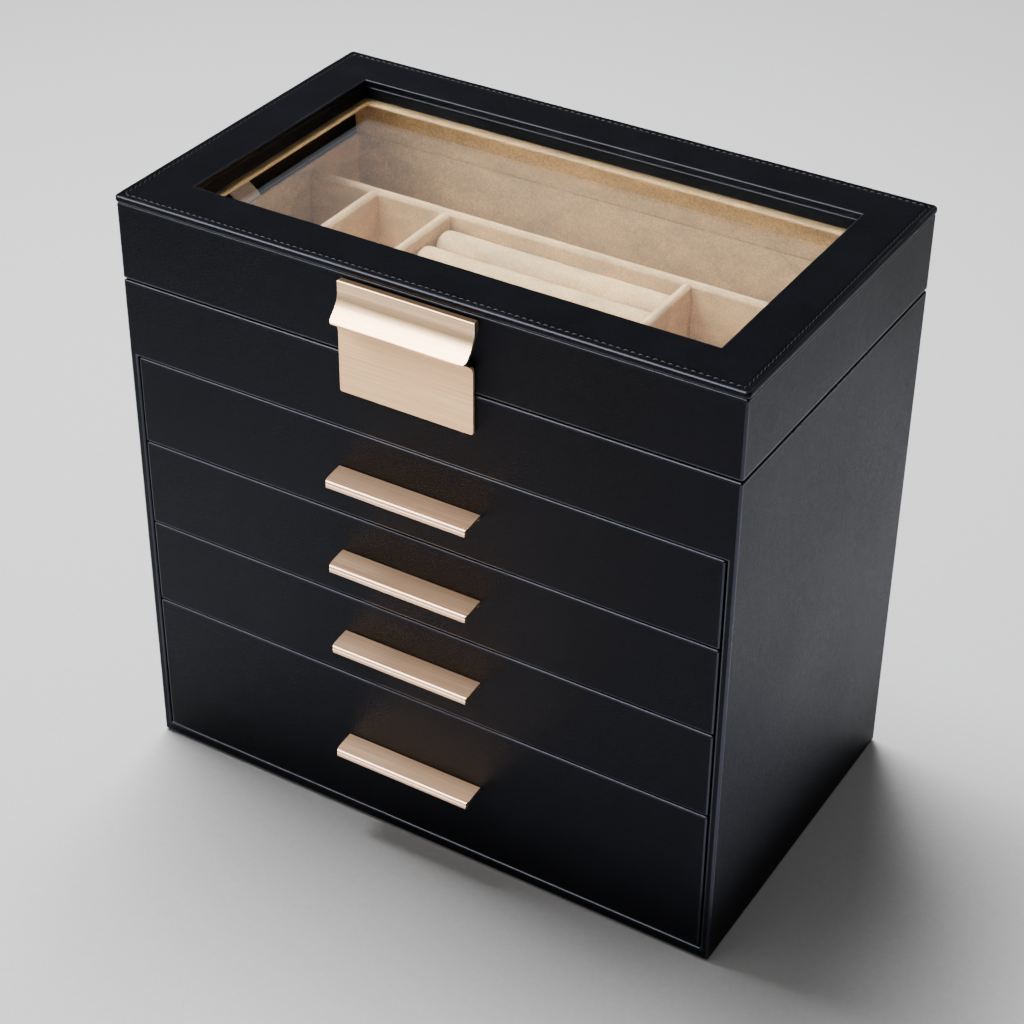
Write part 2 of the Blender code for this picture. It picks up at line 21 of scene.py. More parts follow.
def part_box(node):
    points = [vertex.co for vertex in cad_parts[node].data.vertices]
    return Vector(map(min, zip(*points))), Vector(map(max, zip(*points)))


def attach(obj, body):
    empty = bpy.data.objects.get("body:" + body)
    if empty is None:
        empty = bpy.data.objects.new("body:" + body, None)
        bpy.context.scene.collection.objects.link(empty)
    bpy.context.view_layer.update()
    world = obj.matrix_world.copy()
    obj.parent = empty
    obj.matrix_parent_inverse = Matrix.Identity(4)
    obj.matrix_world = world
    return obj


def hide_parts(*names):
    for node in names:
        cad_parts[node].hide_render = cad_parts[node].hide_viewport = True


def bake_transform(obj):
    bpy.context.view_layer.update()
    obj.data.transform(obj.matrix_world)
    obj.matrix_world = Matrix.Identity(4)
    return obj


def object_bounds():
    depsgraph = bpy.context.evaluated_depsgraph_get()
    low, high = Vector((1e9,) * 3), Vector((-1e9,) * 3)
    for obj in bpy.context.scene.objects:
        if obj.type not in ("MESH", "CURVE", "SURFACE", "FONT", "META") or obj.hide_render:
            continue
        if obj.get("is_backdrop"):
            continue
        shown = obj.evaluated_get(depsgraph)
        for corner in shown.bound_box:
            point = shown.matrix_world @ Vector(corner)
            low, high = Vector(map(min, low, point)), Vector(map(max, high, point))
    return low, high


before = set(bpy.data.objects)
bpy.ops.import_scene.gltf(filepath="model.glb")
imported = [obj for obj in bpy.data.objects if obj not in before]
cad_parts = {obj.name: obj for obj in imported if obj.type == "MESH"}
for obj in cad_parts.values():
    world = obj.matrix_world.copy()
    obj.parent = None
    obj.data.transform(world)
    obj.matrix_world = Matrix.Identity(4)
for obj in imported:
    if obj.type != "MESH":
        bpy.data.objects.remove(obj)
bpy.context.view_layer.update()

LOG = logging.getLogger("armoire")
MM = 0.001
CREASE = math.radians(32)  # faces that meet at more than this keep a crisp edge
SHARP = math.radians(50)  # at more than this the shading breaks too
TURNING = (0.17, 0.985)  # how far up a face looks where the wrap turns from upright to flat
WHOLE = math.inf  # a cell as long as the piece
Point = tuple[float, float, float]
Outline = Sequence[tuple[float, float]]
Tree = bpy.types.NodeTree
Node = bpy.types.Node
Socket = bpy.types.NodeSocket
Skin = bmesh.types.BMesh
Piece = bpy.types.Object


class Slot(Enum):
    """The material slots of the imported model."""

    LEATHER = "black_leather"
    VELVET = "cream_velvet"
    GOLD = "satin_gold"
    GLASS = "clear_glass"
    BRASS = "hinge_brass"
    RIBBON = "stay_ribbon"
    FELT = "base_felt"


# ---------------------------------------------------------------- node and colour helpers


def linear(code: str) -> tuple[float, float, float, float]:
    """Turn an sRGB hex colour into linear light.

    Args:
        code: Six hex digits, such as "d9c3a0".

    Returns:
        Red, green, blue and an alpha of 1.
    """
    parts = [int(code[i : i + 2], 16) / 255 for i in (0, 2, 4)]
    light = [p / 12.92 if p <= 0.04045 else ((p + 0.055) / 1.055) ** 2.4 for p in parts]
    return (*light, 1.0)


def add(tree: Tree, kind: str, feeds: dict | None = None, **settings: object) -> Node:
    """Add a node, set its properties, and feed its inputs with values or other nodes' sockets.

    Args:
        tree: The shader or geometry tree.
        kind: The node's type name.
        feeds: Input name or number against a value or an output socket.
        **settings: Properties of the node.

    Returns:
        The new node.
    """
    made = tree.nodes.new(kind)
    for name, value in settings.items():
        setattr(made, name, value)
    for name, value in (feeds or {}).items():
        if isinstance(value, Socket):
            tree.links.new(value, made.inputs[name])
        else:
            made.inputs[name].default_value = value
    return made


def ramp(tree: Tree, value: Socket, low: str, high: str,
         span: tuple[float, float] = (0.0, 1.0)) -> Socket:
    """Run a value through a two-colour ramp.

    Args:
        tree: The shader tree.
        value: What picks the colour.
        low: sRGB hex at the ramp's start.
        high: sRGB hex at the ramp's end.
        span: Where the start and the end lie, from 0 to 1.

    Returns:
        The colour output.
    """
    made = add(tree, "ShaderNodeValToRGB", {"Fac": value})
    stops = made.color_ramp.elements
    stops[0].position, stops[1].position = span
    stops[0].color, stops[1].color = linear(low), linear(high)
    return made.outputs["Color"]


def remap(tree: Tree, value: Socket, low: float, high: float) -> Socket:
    """Spread a 0 to 1 value over low to high, and return the result."""
    made = add(tree, "ShaderNodeMapRange", {"Value": value, "To Min": low, "To Max": high})
    return made.outputs["Result"]


def mixed(tree: Tree, first: object, second: object, share: object,
          how: str = "MIX") -> Socket:
    """Mix two colours or heights.

    Args:
        tree: The shader tree.
        first: Colour or socket shown at share 0.
        second: Colour or socket shown at share 1.
        share: A number or a socket.
        how: The blend mode.

    Returns:
        The mixed colour.
    """
    made = add(tree, "ShaderNodeMix", {0: share, 6: first, 7: second}, data_type="RGBA", blend_type=how)
    return made.outputs[2]


# ---------------------------------------------------------------- finishes


@dataclass(frozen=True)
class Finish:
    """A material made once and shared by every piece that takes it."""

    name: str

    def material(self) -> bpy.types.Material:
        """Return the finish as a material, made at its first use.

        Returns:
            The material.
        """
        found = bpy.data.materials.get(self.name)
        if found is not None:
            return found
        made = bpy.data.materials.new(self.name)
        made.use_nodes = True
        tree = made.node_tree
        shader = next(n for n in tree.nodes if n.type == "BSDF_PRINCIPLED")
        place = add(tree, "ShaderNodeTexCoord")
        self.shade(tree, shader, place)
        return made

    def shade(self, tree: Tree, shader: Node, place: Node) -> None:
        """Fill the tree; each finish has its own way."""
        raise NotImplementedError

    def join(self, tree: Tree, shader: Node, colour: Socket, gloss: Socket, bump: Node) -> None:
        """Feed the shader its colour, roughness and normal.

        Args:
            tree: The material's tree.
            shader: Its shader.
            colour: The base colour.
            gloss: The roughness.
            bump: The last bump node.
        """
        tree.links.new(colour, shader.inputs["Base Color"])
        tree.links.new(gloss, shader.inputs["Roughness"])
        tree.links.new(bump.outputs["Normal"], shader.inputs["Normal"])

    def stretched(self, tree: Tree, place: Socket, scale: Point) -> Socket:
        """Return coordinates stretched along the axes, in cells for each metre."""
        return add(tree, "ShaderNodeMapping", {"Vector": place, "Scale": scale}).outputs["Vector"]


@dataclass(frozen=True)
class Leatherette(Finish):
    """Polyurethane leather, calendered onto cloth and embossed with a fine pebble.

    The pebble is 0.75 mm across with creases between, a satin coat breaks up over it, and the sheet's
    thickness wanders over a few centimetres, so long reflections have slightly soft edges.
    """

    dark: str = "030406"
    light: str = "0a0b10"
    pebble: float = 0.75 * MM
    sheen_roughness: tuple[float, float] = (0.35, 0.55)
    shine: float = 0.07
    emboss: float = 0.11 * MM
    sag: float = 1.4 * MM
    # darker colour for the creases between pebbles: painted shade
    crease_shade: str = "040405"
    mottle: float = 55.0  # patches for each metre, 18 mm each
    swell: float = 14.0  # swells for each metre, 70 mm each

    def shade(self, tree: Tree, shader: Node, place: Node) -> None:
        """Grain from two pebble sizes, wandering gloss, a faint mottle in the colour and painted shade in the
        creases.

        Args:
            tree: The material's tree.
            shader: Its shader.
            place: Its texture coordinates.
        """
        at = place.outputs["Object"]
        mottle = add(tree, "ShaderNodeTexNoise", {"Vector": at, "Scale": self.mottle, "Detail": 5.0,
                                                  "Roughness": 0.6})
        broad = add(tree, "ShaderNodeTexNoise", {"Vector": at, "Scale": self.swell, "Detail": 2.0})
        cells = add(tree, "ShaderNodeTexVoronoi", {"Vector": at, "Scale": 1 / self.pebble, "Randomness": 1.0},
                    feature="DISTANCE_TO_EDGE")
        pebbles = add(tree, "ShaderNodeMapRange", {"Value": cells.outputs["Distance"], "From Max": 0.16},
                      interpolation_type="SMOOTHSTEP")
        fine = add(tree, "ShaderNodeTexNoise", {"Vector": at, "Scale": 0.45 / self.pebble, "Detail": 6.0,
                                                "Roughness": 0.72})
        shader.inputs["IOR"].default_value = 1.5
        shader.inputs["Specular IOR Level"].default_value = self.shine
        shader.inputs["Specular Tint"].default_value = linear("dde4ff")
        colour = ramp(tree, mottle.outputs["Fac"], self.dark, self.light, (0.3, 0.72))
        tops = remap(tree, pebbles.outputs["Result"], 0.55, 1.0)
        # the creases between pebbles take the darker colour: painted shade
        creases = mixed(tree, linear(self.crease_shade), colour, tops)
        gloss = remap(tree, fine.outputs["Fac"], *self.sheen_roughness)
        drift = remap(tree, broad.outputs["Fac"], -0.05, 0.05)
        wander = add(tree, "ShaderNodeMath", {0: gloss, 1: drift}, operation="ADD")
        grain = add(tree, "ShaderNodeMath", {0: pebbles.outputs["Result"], 1: fine.outputs["Fac"]},
                    operation="ADD")
        emboss = add(tree, "ShaderNodeBump", {"Height": grain.outputs[0], "Strength": 0.8,
                                              "Distance": self.emboss})
        sag = add(tree, "ShaderNodeBump", {"Height": broad.outputs["Fac"], "Strength": 0.35,
                                           "Distance": self.sag, "Normal": emboss.outputs["Normal"]})
        self.join(tree, shader, creases, wander.outputs[0], sag)


@dataclass(frozen=True)
class Velvet(Finish):
    """Cotton velveteen with a short cut pile, glued over card and foam.

    The pile is too fine to see one by one, so it shows as a soft fleck of 0.7 mm where tufts lean, a pale
    sheen at grazing angles and brushed patches of 9 to 17 mm.
    """

    dark: str = "988168"
    light: str = "ddb483"
    tuft: float = 0.7 * MM
    pile: float = 0.42 * MM
    brushed: Point = (60.0, 80.0, 110.0)  # patches for each metre along X, Y and Z

    def shade(self, tree: Tree, shader: Node, place: Node) -> None:
        """Brushed patches in the colour, tufts in the bump, and the pile's sheen.

        Args:
            tree: The material's tree.
            shader: Its shader.
            place: Its texture coordinates.
        """
        at = place.outputs["Object"]
        brushed = add(tree, "ShaderNodeTexNoise", {"Vector": self.stretched(tree, at, self.brushed),
                                                   "Scale": 1.0, "Detail": 4.0, "Distortion": 0.6})
        tufts = add(tree, "ShaderNodeTexNoise", {"Vector": at, "Scale": 1 / self.tuft, "Detail": 4.0,
                                                 "Roughness": 0.7})
        fibres = add(tree, "ShaderNodeTexNoise", {"Vector": at, "Scale": 3.2 / self.tuft, "Detail": 2.0})
        blend = add(tree, "ShaderNodeMath", {0: brushed.outputs["Fac"], 1: tufts.outputs["Fac"]},
                    operation="ADD")
        half = add(tree, "ShaderNodeMath", {0: blend.outputs[0], 1: 0.5}, operation="MULTIPLY")
        ground = ramp(tree, half.outputs[0], self.dark, self.light, (0.28, 0.66))
        lean = remap(tree, tufts.outputs["Fac"], 0.20, 1.70)
        shaded = add(tree, "ShaderNodeCombineColor", {"Red": lean, "Green": lean, "Blue": lean})
        colour = mixed(tree, ground, shaded.outputs[0], 0.8, "MULTIPLY")
        height = add(tree, "ShaderNodeMath", {0: tufts.outputs["Fac"], 1: fibres.outputs["Fac"]},
                     operation="ADD")
        nap = add(tree, "ShaderNodeBump", {"Height": height.outputs[0], "Strength": 0.6,
                                           "Distance": self.pile})
        shader.inputs["Sheen Weight"].default_value = 0.16
        shader.inputs["Sheen Roughness"].default_value = 0.45
        shader.inputs["Sheen Tint"].default_value = linear("ffe6c8")
        shader.inputs["Specular IOR Level"].default_value = 0.15
        self.join(tree, shader, colour, remap(tree, tufts.outputs["Fac"], 0.82, 0.98), nap)


@dataclass(frozen=True)
class BrushedMetal(Finish):
    """Aluminium brushed along its length, then anodised: lines along X stretch every highlight across them.

    Single brush lines are some 0.05 mm apart, so the pattern is drawn at 0.28 mm, coarse enough to show.
    """

    dark: str = "bf946a"
    light: str = "e2bb8e"
    line: float = 0.28 * MM
    run: float = 60 * MM
    satin: tuple[float, float] = (0.40, 0.54)
    brushing: float = 0.8

    def shade(self, tree: Tree, shader: Node, place: Node) -> None:
        """Brush lines in colour, gloss and bump, with the anodising's faint drift of tone.

        Args:
            tree: The material's tree.
            shader: Its shader.
            place: Its texture coordinates.
        """
        at = place.outputs["Object"]
        along = (1 / self.run, 1 / self.line, 1 / self.line)
        lines = add(tree, "ShaderNodeTexNoise", {"Vector": self.stretched(tree, at, along), "Scale": 1.0,
                                                 "Detail": 3.0, "Roughness": 0.6})
        colour = ramp(tree, lines.outputs["Fac"], self.dark, self.light, (0.32, 0.68))
        strokes = add(tree, "ShaderNodeBump", {"Height": lines.outputs["Fac"], "Strength": 0.22,
                                               "Distance": 0.03 * MM})
        shader.inputs["Metallic"].default_value = 1.0
        shader.inputs["Anisotropic"].default_value = self.brushing
        shader.inputs["Anisotropic Rotation"].default_value = 0.25
        brush = add(tree, "ShaderNodeCombineXYZ", {"X": 1.0})
        tree.links.new(brush.outputs[0], shader.inputs["Tangent"])
        self.join(tree, shader, colour, remap(tree, lines.outputs["Fac"], *self.satin), strokes)


@dataclass(frozen=True)
class CastMetal(Finish):
    """Small stamped hardware, tumbled and plated: even colour, with a faint orange-peel from the tumbling."""

    dark: str = "a18a5a"
    light: str = "b9a06a"
    gloss: tuple[float, float] = (0.26, 0.42)
    spots: float = 240.0  # patches for each metre, 4 mm each
    peel: float = 2600.0  # dimples for each metre, 0.4 mm each

    def shade(self, tree: Tree, shader: Node, place: Node) -> None:
        """Tarnish in broad spots, with the peel in the bump.

        Args:
            tree: The material's tree.
            shader: Its shader.
            place: Its texture coordinates.
        """
        at = place.outputs["Object"]
        spots = add(tree, "ShaderNodeTexNoise", {"Vector": at, "Scale": self.spots, "Detail": 4.0})
        peel = add(tree, "ShaderNodeTexNoise", {"Vector": at, "Scale": self.peel, "Detail": 2.0})
        dimple = add(tree, "ShaderNodeBump", {"Height": peel.outputs["Fac"], "Strength": 0.3,
                                              "Distance": 0.02 * MM})
        shader.inputs["Metallic"].default_value = 1.0
        colour = ramp(tree, spots.outputs["Fac"], self.dark, self.light, (0.35, 0.65))
        self.join(tree, shader, colour, remap(tree, spots.outputs["Fac"], *self.gloss), dimple)


@dataclass(frozen=True)
class FloatGlass(Finish):
    """Clear 2 mm float glass: sharp reflections, a slight green body, fingertip haze and settled dust.

    Lamps shine through it by a Light Path mix, so the tray below is lit as through real glass.
    """

    tint: str = "f4f8f5"
    haze: float = 22.0  # smears for each metre, 45 mm each
    dust: float = 75.0  # places for a speck for each metre
    speck: float = 0.022  # a speck's radius as a share of its place, 0.3 mm
    bare: float = 0.88  # the share of places without a speck

    def shade(self, tree: Tree, shader: Node, place: Node) -> None:
        """Glass with haze in its gloss and dust specks 0.6 mm across.

        Args:
            tree: The material's tree.
            shader: Its shader.
            place: Its texture coordinates.
        """
        at = place.outputs["Object"]
        haze = add(tree, "ShaderNodeTexNoise", {"Vector": at, "Scale": self.haze, "Detail": 5.0,
                                                "Roughness": 0.65})
        shader.inputs["Base Color"].default_value = linear(self.tint)
        shader.inputs["IOR"].default_value = 1.5
        shader.inputs["Transmission Weight"].default_value = 1.0
        tree.links.new(remap(tree, haze.outputs["Fac"], 0.0, 0.035), shader.inputs["Roughness"])
        dust = add(tree, "ShaderNodeBsdfDiffuse", {"Color": linear("e9e4da")})
        grains = add(tree, "ShaderNodeTexVoronoi", {"Vector": at, "Scale": self.dust, "Randomness": 1.0})
        speck = add(tree, "ShaderNodeMath", {0: grains.outputs["Distance"], 1: self.speck},
                    operation="LESS_THAN")
        rare = add(tree, "ShaderNodeSeparateColor", {"Color": grains.outputs["Color"]})
        some = add(tree, "ShaderNodeMath", {0: rare.outputs[0], 1: self.bare}, operation="GREATER_THAN")
        where = add(tree, "ShaderNodeMath", {0: speck.outputs[0], 1: some.outputs[0]}, operation="MULTIPLY")
        dusty = add(tree, "ShaderNodeMixShader", {0: where.outputs[0], 1: shader.outputs[0],
                                                  2: dust.outputs[0]})
        path = add(tree, "ShaderNodeLightPath")
        clear = add(tree, "ShaderNodeBsdfTransparent", {"Color": linear(self.tint)})
        lit = add(tree, "ShaderNodeMixShader", {0: path.outputs["Is Shadow Ray"], 1: dusty.outputs[0],
                                                2: clear.outputs[0]})
        end = next(n for n in tree.nodes if n.type == "OUTPUT_MATERIAL")
        tree.links.new(lit.outputs[0], end.inputs["Surface"])


@dataclass(frozen=True)
class Grosgrain(Finish):
    """Polyester grosgrain ribbon: ribs 0.9 mm apart across its width, with a satin thread's shine.

    The ribs follow the ribbon's own map, whose V runs along it in metres.
    """

    dark: str = "8f7d72"
    light: str = "bcaaa0"
    rib: float = 0.9 * MM
    relief: float = 0.2 * MM
    threads: Point = (4200.0, 600.0, 1.0)  # for each metre across the ribbon, along it and through it

    def shade(self, tree: Tree, shader: Node, place: Node) -> None:
        """Ribs from a wave along the map, in the bump and as painted shade in their valleys and painted
        highlight on their tops, with threads in the colour.

        Args:
            tree: The material's tree.
            shader: Its shader.
            place: Its texture coordinates.
        """
        at = place.outputs["UV"]
        ribs = add(tree, "ShaderNodeTexWave",
                   {"Vector": at, "Scale": math.pi / 10 / self.rib, "Distortion": 0.4, "Detail": 1.0},
                   bands_direction="Y")
        threads = add(tree, "ShaderNodeTexNoise", {"Vector": self.stretched(tree, at, self.threads),
                                                   "Scale": 1.0, "Detail": 2.0})
        height = add(tree, "ShaderNodeBump", {"Height": ribs.outputs["Fac"], "Strength": 0.6,
                                              "Distance": self.relief})
        # the ribs' wave darkens the colour in their valleys and lightens it on their tops: painted shade and
        # highlight; the threads add a fleck of their own
        shade = add(tree, "ShaderNodeMath", {0: ribs.outputs["Fac"], 1: threads.outputs["Fac"]},
                    operation="MULTIPLY")
        shader.inputs["Sheen Weight"].default_value = 0.2
        colour = ramp(tree, shade.outputs[0], self.dark, self.light, (0.1, 0.6))
        self.join(tree, shader, colour, remap(tree, threads.outputs["Fac"], 0.30, 0.45), height)


@dataclass(frozen=True)
class Cloth(Finish):
    """A matt, close material whose fibres show as a fine fleck: felt, backing paper or sewing thread."""

    dark: str = "0c0c0d"
    light: str = "1a1a1c"
    fibre: float = 0.5 * MM
    depth: float = 0.15 * MM
    roughness: tuple[float, float] = (0.8, 0.98)

    def shade(self, tree: Tree, shader: Node, place: Node) -> None:
        """Fibres in colour, gloss and bump.

        Args:
            tree: The material's tree.
            shader: Its shader.
            place: Its texture coordinates.
        """
        at = place.outputs["Object"]
        fleck = add(tree, "ShaderNodeTexNoise", {"Vector": at, "Scale": 1 / self.fibre, "Detail": 5.0,
                                                 "Roughness": 0.75, "Distortion": 0.8})
        height = add(tree, "ShaderNodeBump", {"Height": fleck.outputs["Fac"], "Strength": 0.6,
                                              "Distance": self.depth})
        colour = ramp(tree, fleck.outputs["Fac"], self.dark, self.light, (0.3, 0.7))
        self.join(tree, shader, colour, remap(tree, fleck.outputs["Fac"], *self.roughness), height)


LEATHER = Leatherette("polyurethane_leather_black")
# pulled tight over an edge, where the pebble flattens and the coat shines; its lighter colour is a painted
# highlight along the edges
EDGE = Leatherette("polyurethane_leather_stretched_edge_painted_highlight", dark="141418", light="212227",
                   sheen_roughness=(0.24, 0.34), shine=0.28, emboss=0.012 * MM, sag=0.3 * MM)
VELVET = Velvet("cotton_velvet_cream")
GOLD = BrushedMetal("anodised_aluminium_champagne")
# a finer brush, which leaves brighter and tighter highlights on bent pieces
BRIGHT_GOLD = BrushedMetal("anodised_aluminium_champagne_bright", dark="c9a27a", light="ecca9f",
                           satin=(0.24, 0.35), brushing=0.6)
HANDLE_GOLD = BrushedMetal("anodised_aluminium_champagne_handle", dark="c59d7e", light="e2bf9f",
                           satin=(0.29, 0.41), brushing=0.5)
# a diamond-cut edge: nearly white and polished, so that it glints
BURNISHED = BrushedMetal("anodised_aluminium_cut_edge", dark="f3e2cc", light="fff3e4", satin=(0.18, 0.28),
                         brushing=0.0)
BRASS = CastMetal("brass_plated_steel")
SCREW = CastMetal("zinc_plated_screw", dark="8a857a", light="a5a093", gloss=(0.3, 0.45))
GLASS = FloatGlass("float_glass_clear")
RIBBON = Grosgrain("grosgrain_ribbon_taupe")
FELT = Cloth("wool_felt_black")
# smooth coated paper on the boards' hidden faces, slightly shiny
PAPER = Cloth("backing_paper_black", dark="101012", light="1b1b1e", fibre=0.9 * MM, depth=0.05 * MM,
              roughness=(0.55, 0.75))
# bonded thread, whose twist catches a little light
THREAD = Cloth("polyester_thread_black", dark="09090b", light="1e1f24", fibre=0.25 * MM, depth=0.04 * MM,
               roughness=(0.42, 0.58))
FLOOR = Cloth("studio_paper_pale", dark="e3e4e7", light="eceded", fibre=3 * MM, depth=0.02 * MM,
              roughness=(0.8, 0.95))


# ---------------------------------------------------------------- mesh helpers


def steps(start: float, end: float, about: float) -> list[float]:
    """Return evenly spaced numbers from start to end, both included, about as far apart as asked."""
    count = max(1, round(abs(end - start) / about))
    return [start + (end - start) * i / count for i in range(count + 1)]


def knots(*spans: float, about: float) -> list[float]:
    """Return one list of numbers that passes through each given one, evenly spaced between.

    Args:
        *spans: Numbers that have to be in the list.
        about: Rough distance between the others.

    Returns:
        The numbers in order.
    """
    line = [spans[0]]
    for start, end in zip(spans, spans[1:]):
        line += steps(start, end, about)[1:]
    return line


def cell_solid(xs: Sequence[float], ys: Sequence[float], zs: Sequence[float],
               filled: Callable[[float, float, float], bool]) -> Skin:
    """Build the skin of a solid made of filled grid cells, as even quads.

    Args:
        xs: Grid planes across.
        ys: Grid planes front to back.
        zs: Grid planes upwards.
        filled: Says whether the cell round a point is solid.

    Returns:
        A closed mesh with shared corners.
    """
    shape = bmesh.new()
    corners: dict[tuple[int, int, int], bmesh.types.BMVert] = {}
    planes = (xs, ys, zs)
    size = tuple(len(p) - 1 for p in planes)

    def solid(cell: tuple[int, int, int]) -> bool:
        """Say whether a cell is inside the grid and filled.

        Args:
            cell: Its place in the grid.

        Returns:
            Whether it belongs to the solid.
        """
        if any(not 0 <= cell[k] < size[k] for k in range(3)):
            return False
        middle = [(planes[k][cell[k]] + planes[k][cell[k] + 1]) / 2 for k in range(3)]
        return filled(*middle)

    def corner(at: tuple[int, int, int]) -> bmesh.types.BMVert:
        """Return the shared vertex at a grid crossing.

        Args:
            at: The crossing's place in the grid.

        Returns:
            The vertex, made at its first use.
        """
        if at not in corners:
            corners[at] = shape.verts.new([planes[k][at[k]] for k in range(3)])
        return corners[at]

    for i in range(size[0]):
        for j in range(size[1]):
            for k in range(size[2]):
                if not solid((i, j, k)):
                    continue
                for axis in range(3):
                    for side in (0, 1):
                        beside = [i, j, k]
                        beside[axis] += 1 if side else -1
                        if solid(tuple(beside)):
                            continue
                        u, v = (axis + 1) % 3, (axis + 2) % 3
                        ring = []
                        for du, dv in ((0, 0), (1, 0), (1, 1), (0, 1)):
                            at = [i, j, k]
                            at[axis] += side
                            at[u] += du
                            at[v] += dv
                            ring.append(corner(tuple(at)))
                        shape.faces.new(ring if side else ring[::-1])
    return shape


def slab(low: Vector, high: Vector, cells: Point) -> Skin:
    """Build a solid board or pad as even quads.

    Args:
        low: Its lowest corner.
        high: Its highest corner.
        cells: The quads' size along each axis; WHOLE leaves that axis undivided.

    Returns:
        A closed mesh with shared corners.
    """
    planes = [steps(start, end, about) for start, end, about in zip(low, high, cells)]
    return cell_solid(*planes, lambda x, y, z: True)


def round_edges(shape: Skin, radius: float, segments: int = 3,
                which: Callable[[Vector], bool] | None = None) -> None:
    """Round every crisp edge, or only those whose middle passes a test.

    Args:
        shape: The mesh, changed in place.
        radius: How far the rounding reaches from the edge.
        segments: Faces across the rounding.
        which: A test on the edge's middle.
    """
    shape.normal_update()
    crisp = [e for e in shape.edges if e.is_manifold and e.calc_face_angle(0.0) > CREASE
             and (which is None or which((e.verts[0].co + e.verts[1].co) / 2))]
    # the rounding's faces take the second material; on leather that is EDGE, whose lighter colour is a painted
    # highlight
    bmesh.ops.bevel(shape, geom=crisp, offset=radius, segments=segments, profile=0.5, affect="EDGES",
                    clamp_overlap=True, material=1)


def mark_stretched_edges_painted_highlight(shape: Skin, which: Callable[[Vector], bool] | None = None) -> None:
    """Give the faces that turn from flat to upright the second material, the stretched wrap, whose lighter
    colour is a painted highlight.

    Args:
        shape: The mesh, changed in place.
        which: A test on the face's middle.
    """
    shape.normal_update()
    for face in shape.faces:
        turning = TURNING[0] < abs(face.normal.z) < TURNING[1]
        if turning and (which is None or which(face.calc_center_median())):
            face.material_index = 1


def ring_sweep(profile: Outline, half: tuple[float, float], corner: float, about: float,
               corner_steps: int = 6) -> Skin:
    """Sweep a closed outline round a rectangle with rounded corners.

    Args:
        profile: Points as (distance in from the outside, height).
        half: Half the outside's length along X and Y.
        corner: The outside corner's radius.
        about: Rough distance between rings along the straights.
        corner_steps: Faces round each corner.

    Returns:
        The closed ring.
    """
    tightest = 0.12 * MM
    shape = bmesh.new()
    half_x, half_y = half
    along_x = len(steps(-half_x, half_x, about)) - 1
    along_y = len(steps(-half_y, half_y, about)) - 1
    loops = []
    for inset, height in profile:
        radius = max(corner - inset, tightest)
        reach = (half_x - inset - radius, half_y - inset - radius)
        loop: list[Vector] = []
        for turn, (sx, sy) in enumerate(((1, 1), (-1, 1), (-1, -1), (1, -1))):
            centre = Vector((sx * reach[0], sy * reach[1], height))
            for step in range(corner_steps + 1):
                angle = math.pi / 2 * (turn + step / corner_steps)
                loop.append(centre + radius * Vector((math.cos(angle), math.sin(angle), 0.0)))
            if turn % 2 == 0:
                count, following = along_x, Vector((-sx * reach[0], centre.y, height))
            else:
                count, following = along_y, Vector((centre.x, -sy * reach[1], height))
            offset = radius * Vector((math.cos(angle), math.sin(angle), 0.0))
            for step in range(1, count):
                loop.append(centre.lerp(following, step / count) + offset)
        loops.append([shape.verts.new(p) for p in loop])
    for first, second in zip(loops, loops[1:] + loops[:1]):
        for i in range(len(first)):
            j = (i + 1) % len(first)
            shape.faces.new((first[i], first[j], second[j], second[i]))
    bmesh.ops.recalc_face_normals(shape, faces=shape.faces)
    return shape


def bar(outline: Outline, xs: Sequence[float], place: Callable[[float, float, float], Point]) -> Skin:
    """Give a closed outline a length along X, with fan-free ends.

    Args:
        outline: The cross-section's points.
        xs: Where the cross-sections stand.
        place: Turns a cross-section point and its X into a place.

    Returns:
        The closed bar.
    """
    shape = bmesh.new()
    rings = [[shape.verts.new(place(x, u, v)) for u, v in outline] for x in xs]
    for first, second in zip(rings, rings[1:]):
        for i in range(len(outline)):
            j = (i + 1) % len(outline)
            shape.faces.new((first[i], first[j], second[j], second[i]))
    shape.faces.new(rings[0][::-1])
    shape.faces.new(rings[-1])
    bmesh.ops.recalc_face_normals(shape, faces=shape.faces)
    return shape


def arc(centre: tuple[float, float], radius: float, start: float, end: float,
        count: int) -> list[tuple[float, float]]:
    """Return points on an arc, angles in degrees, both ends included."""
    angles = [math.radians(start + (end - start) * i / count) for i in range(count + 1)]
    return [(centre[0] + radius * math.cos(a), centre[1] + radius * math.sin(a)) for a in angles]


def ruffle(shape: Skin, amount: float, wavelength: float, seed: float,
           where: Callable[[Vector], float] | None = None) -> None:
    """Move vertices along their normals by smooth noise, as covering over board or foam never lies dead flat.

    Args:
        shape: The mesh, changed in place.
        amount: The most that a point moves.
        wavelength: About how far apart the swells are.
        seed: Shifts the pattern, so that like pieces differ.
        where: A share of the movement at each place.
    """
    shape.normal_update()
    moves = []
    for vert in shape.verts:
        swell = noise.noise(vert.co / wavelength + Vector((seed, 0.7 * seed, -seed)))
        share = 1.0 if where is None else where(vert.co)
        moves.append(vert.normal * (swell * amount * share))
    for vert, move in zip(shape.verts, moves):
        vert.co += move


def mesh_object(name: str, shape: Skin, weighted: bool = True) -> Piece:
    """Turn a mesh under construction into a linked object at the origin.

    Args:
        name: The piece's name.
        shape: The finished shape, freed here.
        weighted: Whether broad faces rule the shading, as on boards and sheet metal.

    Returns:
        The object.
    """
    mesh = bpy.data.meshes.new(name)
    bmesh.ops.recalc_face_normals(shape, faces=shape.faces)
    shape.to_mesh(mesh)
    shape.free()
    mesh.shade_smooth()
    made = bpy.data.objects.new(name, mesh)
    bpy.context.scene.collection.objects.link(made)
    if weighted:
        mesh.set_sharp_from_angle(angle=SHARP)
        even = made.modifiers.new("even_shading", "WEIGHTED_NORMAL")
        even.keep_sharp = True
    return made


